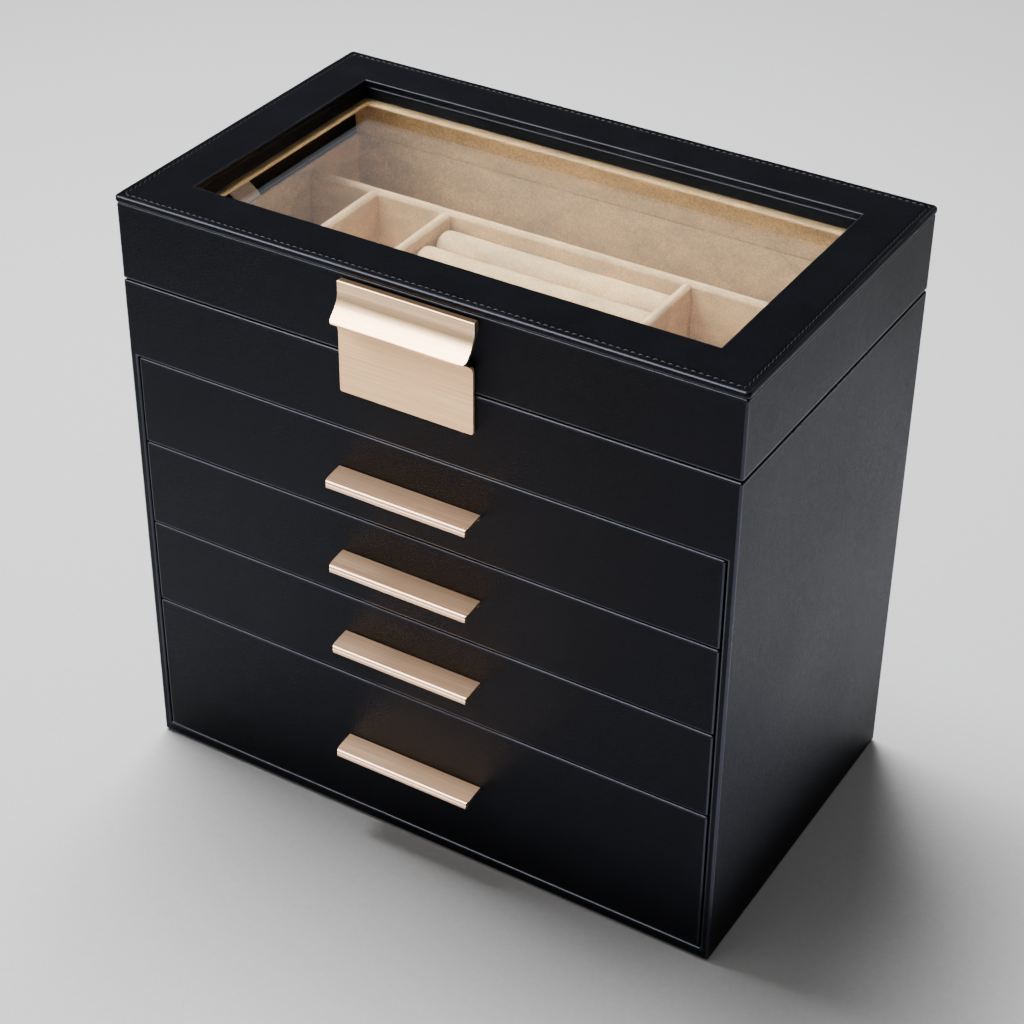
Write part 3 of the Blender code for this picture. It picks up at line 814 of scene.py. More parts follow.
def settle(piece: Piece, body: str, finish: Finish,
           nodes: Sequence[str] = ()) -> Piece:
    """Dress a piece, let it ride on its body and hide the CAD nodes it stands for.

    Args:
        piece: The finished piece.
        body: The body it moves with.
        finish: Its material.
        nodes: The nodes it replaces.

    Returns:
        The same piece.
    """
    # leather's rounded edges take EDGE, a lighter copy of the leather: painted highlight, along with a real
    # glossier coat
    if finish is LEATHER:
        dressing = [finish, EDGE]
    elif isinstance(finish, BrushedMetal):
        dressing = [finish, BURNISHED]
    else:
        dressing = [finish]
        piece.data.materials.clear()
    for layer in dressing:
        piece.data.materials.append(layer.material())
    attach(piece, body)
    if nodes:
        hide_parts(*nodes)
    LOG.info("%s: %d faces, rides on %s", piece.name, len(piece.data.polygons), body)
    return piece


def repaint(node: str, finish: Finish) -> None:
    """Give a CAD node whose shape is right a better material.

    Args:
        node: The CAD node.
        finish: Its new material.
    """
    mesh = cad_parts[node].data
    if not mesh.materials:
        mesh.materials.append(finish.material())
    for index in range(len(mesh.materials)):
        mesh.materials[index] = finish.material()
    LOG.info("%s: kept, in %s", node, finish.name)


def sides(node: str) -> tuple[Vector, Vector]:
    """Return a node's lowest and highest corner."""
    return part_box(node)


# ---------------------------------------------------------------- repeated parts by Geometry Nodes

Layout = tuple[Socket, Socket, Socket]  # points, shape, turn
SLANT = (0.02, 0.16)  # how far a stitch turns off the seam, in radians
RECESS = (1.15, 0.26)  # a screw cross's length and width, in head radii

@dataclass
class Repeater:
    """A Geometry Nodes tree that puts one small shape at each point of a mesh or along a curve."""

    name: str
    finish: Finish
    inputs: dict[str, float]
    tree: Tree = field(init=False)

    def __post_init__(self) -> None:
        """Make the tree with its named inputs and build its nodes."""
        self.tree = bpy.data.node_groups.new(self.name, "GeometryNodeTree")
        face = self.tree.interface
        face.new_socket("Geometry", in_out="INPUT", socket_type="NodeSocketGeometry")
        face.new_socket("Geometry", in_out="OUTPUT", socket_type="NodeSocketGeometry")
        for label, value in self.inputs.items():
            kind = "NodeSocketInt" if isinstance(value, int) else "NodeSocketFloat"
            face.new_socket(label, in_out="INPUT", socket_type=kind).default_value = value
        start = add(self.tree, "NodeGroupInput")
        points, shape, turn = self.lay_out(start)
        many = add(self.tree, "GeometryNodeInstanceOnPoints", {"Points": points, "Instance": shape,
                                                               "Rotation": turn})
        real = add(self.tree, "GeometryNodeRealizeInstances", {"Geometry": many.outputs["Instances"]})
        dressed = add(self.tree, "GeometryNodeSetMaterial", {"Geometry": real.outputs["Geometry"],
                                                             "Material": self.finish.material()})
        smooth = add(self.tree, "GeometryNodeSetShadeSmooth", {"Geometry": dressed.outputs["Geometry"]})
        end = add(self.tree, "NodeGroupOutput")
        self.tree.links.new(smooth.outputs[0], end.inputs["Geometry"])

    def lay_out(self, start: Node) -> Layout:
        """Build the part of the tree that differs; return points, the repeated shape and its turn."""
        raise NotImplementedError

    def grow(self, carrier: Piece, name: str, values: dict[str, float]) -> Piece:
        """Run the tree on a carrier and return its result as a plain mesh object.

        Args:
            carrier: The curve or mesh that says where the shapes go; removed here.
            name: The new piece's name.
            values: Sizes that differ from the tree's own.

        Returns:
            The piece, at the origin.
        """
        live = carrier.modifiers.new(self.name, "NODES")
        live.node_group = self.tree
        keys = {item.name: item.identifier for item in self.tree.interface.items_tree
                if item.in_out == "INPUT"}
        for label, value in values.items():
            live[keys[label]] = value
        bpy.context.view_layer.update()
        graph = bpy.context.evaluated_depsgraph_get()
        mesh = bpy.data.meshes.new_from_object(carrier.evaluated_get(graph), depsgraph=graph)
        mesh.name = name
        carrier.modifiers.remove(live)
        bpy.data.objects.remove(carrier)
        made = bpy.data.objects.new(name, mesh)
        bpy.context.scene.collection.objects.link(made)
        return made


class StitchRow(Repeater):
    """A run of lockstitches along a curve, each a short arched length of thread."""

    def lay_out(self, start: Node) -> Layout:
        """Arched stitches at even spacing, each turned a little off the line.

        Args:
            start: The tree's input node.

        Returns:
            Points, one stitch and its turn.
        """
        tree = self.tree
        pitch, length = start.outputs["Pitch"], start.outputs["Stitch Length"]
        spaced = add(tree, "GeometryNodeResampleCurve", {"Curve": start.outputs["Geometry"], "Length": pitch},
                     mode="LENGTH")
        back = add(tree, "ShaderNodeMath", {0: length, 1: -0.5}, operation="MULTIPLY")
        front = add(tree, "ShaderNodeMath", {0: length, 1: 0.5}, operation="MULTIPLY")
        dip = add(tree, "ShaderNodeMath", {0: start.outputs["Thread Radius"], 1: -0.9}, operation="MULTIPLY")
        first = add(tree, "ShaderNodeCombineXYZ", {"X": back.outputs[0], "Z": dip.outputs[0]})
        top = add(tree, "ShaderNodeCombineXYZ", {"Z": start.outputs["Rise"]})
        last = add(tree, "ShaderNodeCombineXYZ", {"X": front.outputs[0], "Z": dip.outputs[0]})
        bow = add(tree, "GeometryNodeCurveQuadraticBezier",
                  {"Resolution": 4, "Start": first.outputs[0], "Middle": top.outputs[0],
                   "End": last.outputs[0]})
        ring = add(tree, "GeometryNodeCurvePrimitiveCircle",
                   {"Resolution": 6, "Radius": start.outputs["Thread Radius"]})
        tube = add(tree, "GeometryNodeCurveToMesh",
                   {"Curve": bow.outputs[0], "Profile Curve": ring.outputs[0], "Fill Caps": True})
        tangent = add(tree, "GeometryNodeInputTangent")
        aimed = add(tree, "FunctionNodeAlignRotationToVector", {"Vector": tangent.outputs[0]}, axis="X",
                    pivot_axis="Z")
        slant = add(tree, "FunctionNodeRandomValue",
                    {"Min": (0.0, 0.0, SLANT[0]), "Max": (0.0, 0.0, SLANT[1]), "Seed": start.outputs["Seed"]},
                    data_type="FLOAT_VECTOR")
        turned = add(tree, "FunctionNodeRotateRotation",
                     {"Rotation": aimed.outputs[0], "Rotate By": slant.outputs[0]}, rotation_space="LOCAL")
        return spaced.outputs[0], tube.outputs[0], turned.outputs[0]


class ScrewSet(Repeater):
    """Countersunk screws with a cross recess, one at each vertex of the carrier, facing backwards."""

    def lay_out(self, start: Node) -> Layout:
        """A shallow domed head with a cross cut in it, each turned at random.

        Args:
            start: The tree's input node.

        Returns:
            Points, one screw head and its turn.
        """
        tree = self.tree
        radius, rise = start.outputs["Head Radius"], start.outputs["Head Height"]
        points = add(tree, "GeometryNodeMeshToPoints", {"Mesh": start.outputs["Geometry"]})
        ball = add(tree, "GeometryNodeMeshUVSphere", {"Segments": 16, "Rings": 8, "Radius": radius})
        flat = add(tree, "ShaderNodeMath", {0: rise, 1: radius}, operation="DIVIDE")
        squeeze = add(tree, "ShaderNodeCombineXYZ", {"X": 1.0, "Y": 1.0, "Z": flat.outputs[0]})
        dome = add(tree, "GeometryNodeTransform",
                   {"Geometry": ball.outputs["Mesh"], "Scale": squeeze.outputs[0]})
        long, thin = (add(tree, "ShaderNodeMath", {0: radius, 1: share}, operation="MULTIPLY")
                      for share in RECESS)
        one = add(tree, "ShaderNodeCombineXYZ", {"X": long.outputs[0], "Y": thin.outputs[0], "Z": rise})
        other = add(tree, "ShaderNodeCombineXYZ", {"X": thin.outputs[0], "Y": long.outputs[0], "Z": rise})
        lift = add(tree, "ShaderNodeCombineXYZ", {"Z": rise})
        cuts = []
        for size in (one, other):
            box = add(tree, "GeometryNodeMeshCube", {"Size": size.outputs[0]})
            cuts.append(add(tree, "GeometryNodeTransform", {"Geometry": box.outputs["Mesh"],
                                                            "Translation": lift.outputs[0]}).outputs[0])
        cross = add(tree, "GeometryNodeMeshBoolean", operation="UNION", solver="EXACT")
        for cut in cuts:
            tree.links.new(cut, cross.inputs["Mesh 2"])
        head = add(tree, "GeometryNodeMeshBoolean",
                   {"Mesh 1": dome.outputs[0], "Mesh 2": cross.outputs["Mesh"]},
                   operation="DIFFERENCE", solver="EXACT")
        upright = add(tree, "FunctionNodeEulerToRotation", {"Euler": (-math.pi / 2, 0.0, 0.0)})
        about = add(tree, "FunctionNodeRandomValue", {2: 0.0, 3: math.pi, "Seed": start.outputs["Seed"]},
                    data_type="FLOAT")
        axis = add(tree, "FunctionNodeAxisAngleToRotation",
                   {"Axis": (0.0, 0.0, 1.0), "Angle": about.outputs[1]})
        turned = add(tree, "FunctionNodeRotateRotation",
                     {"Rotation": upright.outputs[0], "Rotate By": axis.outputs[0]}, rotation_space="LOCAL")
        return points.outputs[0], head.outputs["Mesh"], turned.outputs[0]


# ---------------------------------------------------------------- the case


@dataclass
class Case:
    """The carcass in one continuous leatherette wrap, its shelves and its felt foot."""

    edge: float = 1.1 * MM
    lip_edge: float = 0.7 * MM
    cell: float = 24 * MM
    foot: float = 0.6 * MM
    body: str = "case"

    def wrap(self) -> Piece:
        """Build the carcass: four walls and a base, open above and at the drawers.

        Returns:
            The carcass.
        """
        left, left_in = sides("side_panel_left")
        right_in, right = sides("side_panel_right")
        band_low, band_back = sides("front_band")
        back_in, back = sides("back_panel")
        _, base_top = sides("base_panel")
        xs = knots(left.x, left_in.x, right_in.x, right.x, about=self.cell)
        ys = knots(left.y, band_back.y, back_in.y, back.y, about=self.cell)
        zs = knots(self.foot, base_top.z, band_low.z, right.z, about=self.cell)

        def filled(x: float, y: float, z: float) -> bool:
            """Say whether a point is in a wall, the base or the front band.

            Args:
                x: Place across.
                y: Place front to back.
                z: Height.

            Returns:
                Whether there is board there.
            """
            if x < left_in.x or x > right_in.x or y > back_in.y or z < base_top.z:
                return True
            return z > band_low.z and y < band_back.y

        shape = cell_solid(xs, ys, zs, filled)
        outside = 0.5 * MM

        def outer(at: Vector) -> bool:
            """Say whether an edge lies on the outside of the carcass."""
            return min(at.x - left.x, right.x - at.x, at.y - left.y, back.y - at.y) < outside

        ruffle(shape, 0.10 * MM, 45 * MM, 3.1, lambda at: 1.0 if band_back.y < at.y < back_in.y else 0.0)
        round_edges(shape, self.edge, 4, outer)
        round_edges(shape, self.lip_edge, 2, lambda at: not outer(at))
        return mesh_object("case_wrap", shape)

    def felt(self) -> Piece:
        """Build the felt sheet under the base, its edge slightly frayed.

        Returns:
            The sheet.
        """
        low, high = sides("base_felt")
        shape = slab(low, high, (6 * MM, 6 * MM, WHOLE))
        round_edges(shape, 0.25 * MM, 1)
        ruffle(shape, 0.10 * MM, 5 * MM, 8.2, lambda at: 1.0 if at.z > low.z + 0.1 * MM else 0.0)
        return mesh_object("felt_foot", shape)

    def build(self) -> None:
        """Make and dress every fixed piece of the case but the tray."""
        settle(self.wrap(), self.body, LEATHER,
               ("side_panel_left", "side_panel_right", "front_band", "back_panel", "base_panel"))
        for node in ("tray_deck", "drawer_shelf_1", "drawer_shelf_2", "drawer_shelf_3"):
            repaint(node, PAPER)
        felt = settle(self.felt(), self.body, FELT, ("base_felt",))


# ---------------------------------------------------------------- the tray

VELVET_PROUD = 0.12 * MM  # how far a turned-over velvet edge stands past its board

@dataclass
class Tray:
    """The velvet tray: liner, floor pad, dividers and the padded ring rolls."""

    top_round: float = 2.0 * MM
    body: str = "case"

    def liner(self) -> Piece:
        """Build the velvet round the four walls, turned over at its top edge.

        Returns:
            The liner.
        """
        low, high = sides("tray_liner")
        _, pad_high = sides("tray_floor_pad")
        thick = high.x - pad_high.x - 0.3 * MM
        bottom, top = low.z, high.z + VELVET_PROUD
        roll = arc((thick / 2, top - thick / 2), thick / 2, 180, 0, 4)
        inner = [(thick, z) for z in steps(top - thick, bottom, 4 * MM)[1:]]
        shape = ring_sweep([(0.0, bottom), *roll, *inner], (high.x, high.y), 0.9 * MM, 6 * MM, 3)
        ruffle(shape, 0.16 * MM, 22 * MM, 5.7, lambda at: 1.0 if at.z < top - 2 * MM else 0.3)
        return mesh_object("tray_liner_velvet", shape, weighted=False)

    def divider(self, node: str, number: int) -> Piece:
        """Build one divider: card wrapped in velvet, its top edge soft and a little uneven.

        Args:
            node: The CAD divider.
            number: Tells like dividers apart.

        Returns:
            The divider.
        """
        low, high = sides(node)
        long_x = high.x - low.x > high.y - low.y
        shape = slab(low, high, (5 * MM, 1.2 * MM, 4 * MM) if long_x else (1.2 * MM, 5 * MM, 4 * MM))
        crown = high.z - self.top_round
        half = (high.y - low.y) / 2 if long_x else (high.x - low.x) / 2
        middle = (high + low) / 2
        for vert in shape.verts:
            if vert.co.z > crown - 0.1 * MM:
                across = (vert.co.y - middle.y) if long_x else (vert.co.x - middle.x)
                share = min(1.0, abs(across) / half)
                vert.co.z -= self.top_round * (1 - math.sqrt(max(0.0, 1 - share**2))) * 0.85
        round_edges(shape, 0.45 * MM, 2)
        ruffle(shape, 0.20 * MM, 16 * MM, 11.0 + number)
        return mesh_object(f"{node}_velvet", shape, weighted=False)

    def floor(self) -> Piece:
        """Build the padded floor, which swells slightly between the dividers that press on it.

        Returns:
            The floor pad.
        """
        low, high = sides("tray_floor_pad")
        shape = slab(low, high, (4 * MM, 4 * MM, WHOLE))
        round_edges(shape, 0.5 * MM, 2)
        ruffle(shape, 0.22 * MM, 19 * MM, 2.4, lambda at: 1.0 if at.z > high.z - 0.6 * MM else 0.0)
        return mesh_object("tray_floor_velvet", shape, weighted=False)

    def build(self) -> None:
        """Make and dress the tray's pieces."""
        settle(self.liner(), self.body, VELVET, ("tray_liner",))
        dividers = ["tray_long_divider", *(f"tray_cross_divider_{i}" for i in (1, 2, 3))]
        for number, node in enumerate(dividers):
            settle(self.divider(node, number), self.body, VELVET, (node,))
        floor = settle(self.floor(), self.body, VELVET, ("tray_floor_pad",))
        RingRolls().build()


@dataclass
class RingRolls:
    """Foam rolls in velvet, side by side, filled by a short cloth simulation so that they bulge and touch."""

    count: int = 7
    shrink: float = 0.8 * MM
    voxel: float = 1.9 * MM
    cap: float = 1.0 * MM
    frames: int = 20
    pressure: float = 4.0
    stiffness: float = 12.0
    body: str = "case"

    def blank(self) -> Piece:
        """Build the first roll slightly small: an arch on straight sides, with rounded ends.

        Returns:
            The roll before it is filled.
        """
        low, high = sides("ring_roll_1")
        middle = (low.y + high.y) / 2
        radius = (high.y - low.y) / 2 - self.shrink
        foot = low.z + 0.3 * MM
        top = high.z - self.shrink
        crown = arc((0.0, top - radius), radius, 0, 180, 18)
        rise = steps(foot, top - radius, 3 * MM)[:-1]
        outline = [(radius, z) for z in rise] + crown + [(-radius, z) for z in rise[::-1]]
        start, end = low.x + self.shrink, high.x - self.shrink
        shape = bar(outline, steps(start, end, 3 * MM), lambda x, u, v: (x, middle + u, v))
        round_edges(shape, 1.6 * MM, 3, lambda at: at.x < start + 0.5 * MM or at.x > end - 0.5 * MM)
        return mesh_object("roll_blank", shape, weighted=False)

    def inflated(self) -> Piece:
        """Return the roll after the simulation, each point held within the cap.

        Returns:
            The filled roll, without modifiers.
        """
        roll = self.blank()
        scene = bpy.context.scene
        bpy.context.view_layer.objects.active = roll
        even = roll.modifiers.new("voxels", "REMESH")
        even.mode = "VOXEL"
        even.voxel_size = self.voxel
        graph = bpy.context.evaluated_depsgraph_get()
        start = bpy.data.meshes.new_from_object(roll.evaluated_get(graph), depsgraph=graph)
        roll.modifiers.remove(even)
        roll.data = start
        rest = [v.co.copy() for v in start.vertices]
        cloth = roll.modifiers.new("filling", "CLOTH")
        cloth.settings.quality = 6
        cloth.settings.mass = 0.2
        cloth.settings.tension_stiffness = self.stiffness
        cloth.settings.compression_stiffness = self.stiffness
        cloth.settings.use_pressure = True
        cloth.settings.uniform_pressure_force = self.pressure
        cloth.settings.effector_weights.gravity = 0.0
        cloth.point_cache.frame_start, cloth.point_cache.frame_end = 1, self.frames
        for number in range(1, self.frames + 1):
            scene.frame_set(number)
        graph = bpy.context.evaluated_depsgraph_get()
        blown = bpy.data.meshes.new_from_object(roll.evaluated_get(graph), depsgraph=graph)
        roll.modifiers.remove(cloth)
        scene.frame_set(1)
        for vert, was in zip(blown.vertices, rest):
            move = vert.co - was
            if move.length > self.cap:
                vert.co = was + move.normalized() * self.cap
        roll.data = blown
        return roll

    def build(self) -> None:
        """Make the seven rolls from one, each with its own slight creases."""
        pattern = self.inflated()
        first_low, _ = sides("ring_roll_1")
        for number in range(1, self.count + 1):
            low, high = sides(f"ring_roll_{number}")
            shape = bmesh.new()
            shape.from_mesh(pattern.data)
            bmesh.ops.translate(shape, verts=shape.verts, vec=(0.0, low.y - first_low.y, 0.0))
            ruffle(shape, 0.18 * MM, 14 * MM, 20.0 + 3 * number)
            for vert in shape.verts:
                vert.co = [min(max(at, least), most) for at, least, most in zip(vert.co, low, high)]
            roll = mesh_object(f"ring_roll_{number}_velvet", shape, weighted=False)
            finer = roll.modifiers.new("finer", "SUBSURF")
            finer.levels = finer.render_levels = 1
            settle(roll, self.body, VELVET, (f"ring_roll_{number}",))
        bpy.data.objects.remove(pattern)


# ---------------------------------------------------------------- drawers


@dataclass
class Drawer:
    """One drawer: wrapped front, velvet box and pad, and its bent metal handle."""

    number: int
    front_edge: float = 0.9 * MM

    @property
    def body(self) -> str:
        """The body that this drawer's pieces ride on."""
        return f"drawer_{self.number}"

    def front(self) -> Piece:
        """Build the wrapped front board, its edges pulled round by the wrap.

        Returns:
            The front.
        """
        low, high = sides(f"{self.body}_front")
        shape = slab(low, high, (14 * MM, WHOLE, 12 * MM))
        ruffle(shape, 0.12 * MM, 40 * MM, 4.0 * self.number, lambda at: 1.0 if at.y < low.y + 1 * MM else 0.0)
        for vert in shape.verts:
            vert.co.y = max(vert.co.y, low.y)
        round_edges(shape, self.front_edge, 3)
        return mesh_object(f"{self.body}_front_wrap", shape)

    def box(self) -> Piece:
        """Build the velvet-lined box, with its walls' top edges rolled over.

        Returns:
            The box.
        """
        low, high = sides(f"{self.body}_box")
        pad_low, _ = sides(f"{self.body}_pad")
        wall = pad_low.x - low.x - 0.3 * MM
        floor = pad_low.z - 0.3 * MM
        left, right, front, back = low.x + wall, high.x - wall, low.y + wall, high.y - wall
        shape = cell_solid(knots(low.x, left, right, high.x, about=9 * MM),
                           knots(low.y, front, back, high.y, about=9 * MM),
                           knots(low.z, floor, high.z, about=7 * MM),
                           lambda x, y, z: z < floor or not (left < x < right and front < y < back))
        round_edges(shape, 0.8 * MM, 3, lambda at: at.z > high.z - 0.2 * MM)
        round_edges(shape, 0.4 * MM, 1, lambda at: at.z <= high.z - 0.2 * MM)
        ruffle(shape, 0.12 * MM, 25 * MM, 31.0 + self.number)
        return mesh_object(f"{self.body}_box_velvet", shape, weighted=False)

    def pad(self) -> Piece:
        """Build the thin pad on the box's floor.

        Returns:
            The pad.
        """
        low, high = sides(f"{self.body}_pad")
        shape = slab(low, high, (6 * MM, 6 * MM, WHOLE))
        round_edges(shape, 0.45 * MM, 2)
        ruffle(shape, 0.25 * MM, 24 * MM, 51.0 + self.number,
               lambda at: 1.0 if at.z > high.z - 0.5 * MM else 0.0)
        return mesh_object(f"{self.body}_pad_velvet", shape, weighted=False)

    def build(self) -> None:
        """Make and dress the drawer."""
        settle(self.front(), self.body, LEATHER, (f"{self.body}_front",))
        settle(self.box(), self.body, VELVET, (f"{self.body}_box",))
        pad = settle(self.pad(), self.body, VELVET, (f"{self.body}_pad",))
        Handle(self.body).build()


@dataclass
class Handle:
    """A bent profile pull: a crowned flange that ends in a beaded lip."""

    body: str
    sheet: float = 1.3 * MM
    crown: float = 0.10 * MM
    lip: float = 4.7 * MM
    web: float = 1.9 * MM
    fall: float = 1.2 * MM
    nose: float = 1.1 * MM
    groove: float = 0.55 * MM
    seat: float = 0.15 * MM
    corner: float = 1.2 * MM
    corner_depth: float = 1.6 * MM

    def outline(self, reach: float) -> Outline:
        """Return the profile seen end on, from where the flange meets the drawer.

        Args:
            reach: How far the lip stands out.

        Returns:
            Points as (out, up), anticlockwise.
        """
        shares = [i / 8 for i in range(9)]
        drop, web = self.lip, self.web
        flange = reach - self.nose
        top = [(flange * s, -self.fall * s**1.1 + self.crown * math.sin(math.pi * s)) for s in shares]
        under = [(u, v - self.sheet * 0.92) for u, v in top]
        nose = arc((reach - self.nose, -self.fall - self.nose), self.nose, 78, 0, 6)
        cut = -self.fall - self.nose - 0.25 * MM
        bead = arc((reach - self.groove, cut - 0.85 * MM), self.groove, 62, -20, 4)
        lip = [(reach - 0.02 * MM, -drop + 0.5 * MM), (reach - 0.18 * MM, -drop + 0.12 * MM),
               (reach - 0.5 * MM, -drop)]
        inner, hollow = reach - self.sheet, -self.fall - self.sheet
        back = [(inner, -drop + 0.2 * MM), (inner, hollow - 0.9 * MM), (inner - 0.5 * MM, hollow - 0.1 * MM)]
        foot = [(self.sheet + 0.5 * MM, -self.sheet), (self.sheet, -self.sheet - 0.5 * MM),
                (self.sheet, -web), (0.0, -web)]
        return [*top, *nose, (reach, cut), (reach - self.groove, cut - 0.22 * MM), *bead, *lip, *back,
                *under[::-1][1:-1], *foot]

    def build(self) -> None:
        """Make and dress the handle where its CAD node is."""
        low, high = sides(f"{self.body}_handle")
        root_y, root_z = high.y, high.z - self.seat
        profile = self.outline(high.y - low.y)
        shape = bar(profile, steps(low.x, high.x, 4 * MM), lambda x, u, v: (x, root_y - u, root_z + v))
        ends = 0.3 * MM
        round_edges(shape, 0.28 * MM, 2, lambda at: at.x < low.x + ends or at.x > high.x - ends)
        for vert in shape.verts:
            out = root_y - vert.co.y
            near = min(vert.co.x - low.x, high.x - vert.co.x)
            deep = max(0.0, out - (high.y - low.y) + self.corner_depth)
            if near < self.corner and deep > 0:
                sign = 1 if vert.co.x < (low.x + high.x) / 2 else -1
                vert.co.x += sign * (self.corner - near) / self.corner * deep * 0.45
        settle(mesh_object(f"{self.body}_handle_metal", shape), self.body, HANDLE_GOLD,
               (f"{self.body}_handle",))


# ---------------------------------------------------------------- the clasp


@dataclass
class Clasp:
    """The strike plate on the case and the cove-shaped pull on the lid, both of brushed metal."""

    plate_sheet: float = 1.2 * MM
    roll: float = 5.0 * MM
    plate_corner: float = 1.0 * MM
    pull_sheet: float = 1.4 * MM

    def plate(self) -> Piece:
        """Build the plate: flat on the case, rolled outwards at its top, with small rounded corners.

        Returns:
            The plate.
        """
        low, high = sides("clasp_strike_plate")
        sheet, face = self.plate_sheet, high.y
        reach = high.y - low.y - sheet - 0.05 * MM
        flat_top = high.z - self.roll
        turn = [low.z + share * self.plate_corner for share in (0.0, 0.06, 0.2, 0.42, 0.7)]
        levels = [*turn, *steps(low.z + self.plate_corner, flat_top, 2.5 * MM)]
        shares = [i / 14 for i in range(1, 15)]
        rise = self.roll - 0.35 * MM
        outer_roll = [(sheet + reach * share**2.4, flat_top + rise * share) for share in shares]
        crest = [(sheet + reach - 0.12 * MM, high.z - 0.08 * MM), (sheet + reach - 0.45 * MM, high.z),
                 (sheet + reach - 0.8 * MM, high.z - 0.25 * MM)]
        inner_roll = [(reach * share**2.4 * 0.75, flat_top + rise * share) for share in shares[-2::-1]]
        front = [(sheet, z) for z in levels]
        rear = [(0.0, z) for z in levels[::-1]]
        profile = [*front, *outer_roll, *crest, *inner_roll, *rear]
        shape = bar(profile, steps(low.x, high.x, 2.5 * MM), lambda x, u, v: (x, face - u, v))
        for vert in shape.verts:
            for side, edge in ((1, low.x), (-1, high.x)):
                inset = side * (vert.co.x - edge)
                for tall, level in ((1, low.z), (-1, high.z)):
                    above = tall * (vert.co.z - level)
                    if inset < 0.01 * MM and above < self.plate_corner:
                        rest = self.plate_corner - above
                        chord = math.sqrt(max(0.0, self.plate_corner**2 - rest**2))
                        vert.co.x += side * (self.plate_corner - chord)
        round_edges(shape, 0.32 * MM, 2)
        return mesh_object("clasp_plate_metal", shape)

    def pull(self) -> Piece:
        """Build the pull: an upright top, a deep cove and a thin flared lip, hollow behind.

        Returns:
            The pull.
        """
        low, high = sides("clasp_pull")
        back, front = high.y, high.y - 3.2 * MM
        reach = front - low.y - 0.25 * MM
        cove_top, bottom = high.z - 4.2 * MM, low.z + 0.95 * MM
        cove = [(back - front + reach * (i / 14) ** 2.15, cove_top + (bottom - cove_top) * (i / 14))
                for i in range(15)]
        lip = [(cove[-1][0] + 0.20 * MM, bottom - 0.45 * MM), (cove[-1][0] - 0.05 * MM, bottom - 0.90 * MM),
               (cove[-1][0] - 0.75 * MM, bottom - 0.70 * MM)]
        under = [(u - self.pull_sheet * 0.80, v - self.pull_sheet * 0.62) for u, v in cove[::-1][1:-3]]
        deep = back - front
        top = [(0.0, cove_top - 0.4 * MM), (0.0, high.z - 0.35 * MM), (0.35 * MM, high.z),
               (deep - 0.55 * MM, high.z), (deep - 0.16 * MM, high.z - 0.16 * MM), (deep, high.z - 0.55 * MM)]
        profile = [*top, *cove, *lip, *under]
        shape = bar(profile, steps(low.x, high.x, 3 * MM), lambda x, u, v: (x, back - u, v))
        for vert in shape.verts:
            flare = max(0.0, (front - vert.co.y) / reach)
            near = min(vert.co.x - low.x, high.x - vert.co.x)
            if near < 0.4 * MM and flare > 0.75:
                sign = 1 if vert.co.x < 0 else -1
                vert.co.x += sign * 0.7 * MM * ((flare - 0.75) / 0.25) ** 2
        round_edges(shape, 0.22 * MM, 2, lambda at: at.x < low.x + 1 * MM or at.x > high.x - 1 * MM)
        return mesh_object("clasp_pull_metal", shape)

    def build(self) -> None:
        """Make and dress the clasp."""
        settle(self.plate(), "case", GOLD, ("clasp_strike_plate",))
        settle(self.pull(), "clasp", BRIGHT_GOLD, ("clasp_pull",))
        for node in ("clasp_bracket", "clasp_pivot_pin"):
            repaint(node, BRASS)


# ---------------------------------------------------------------- the lid


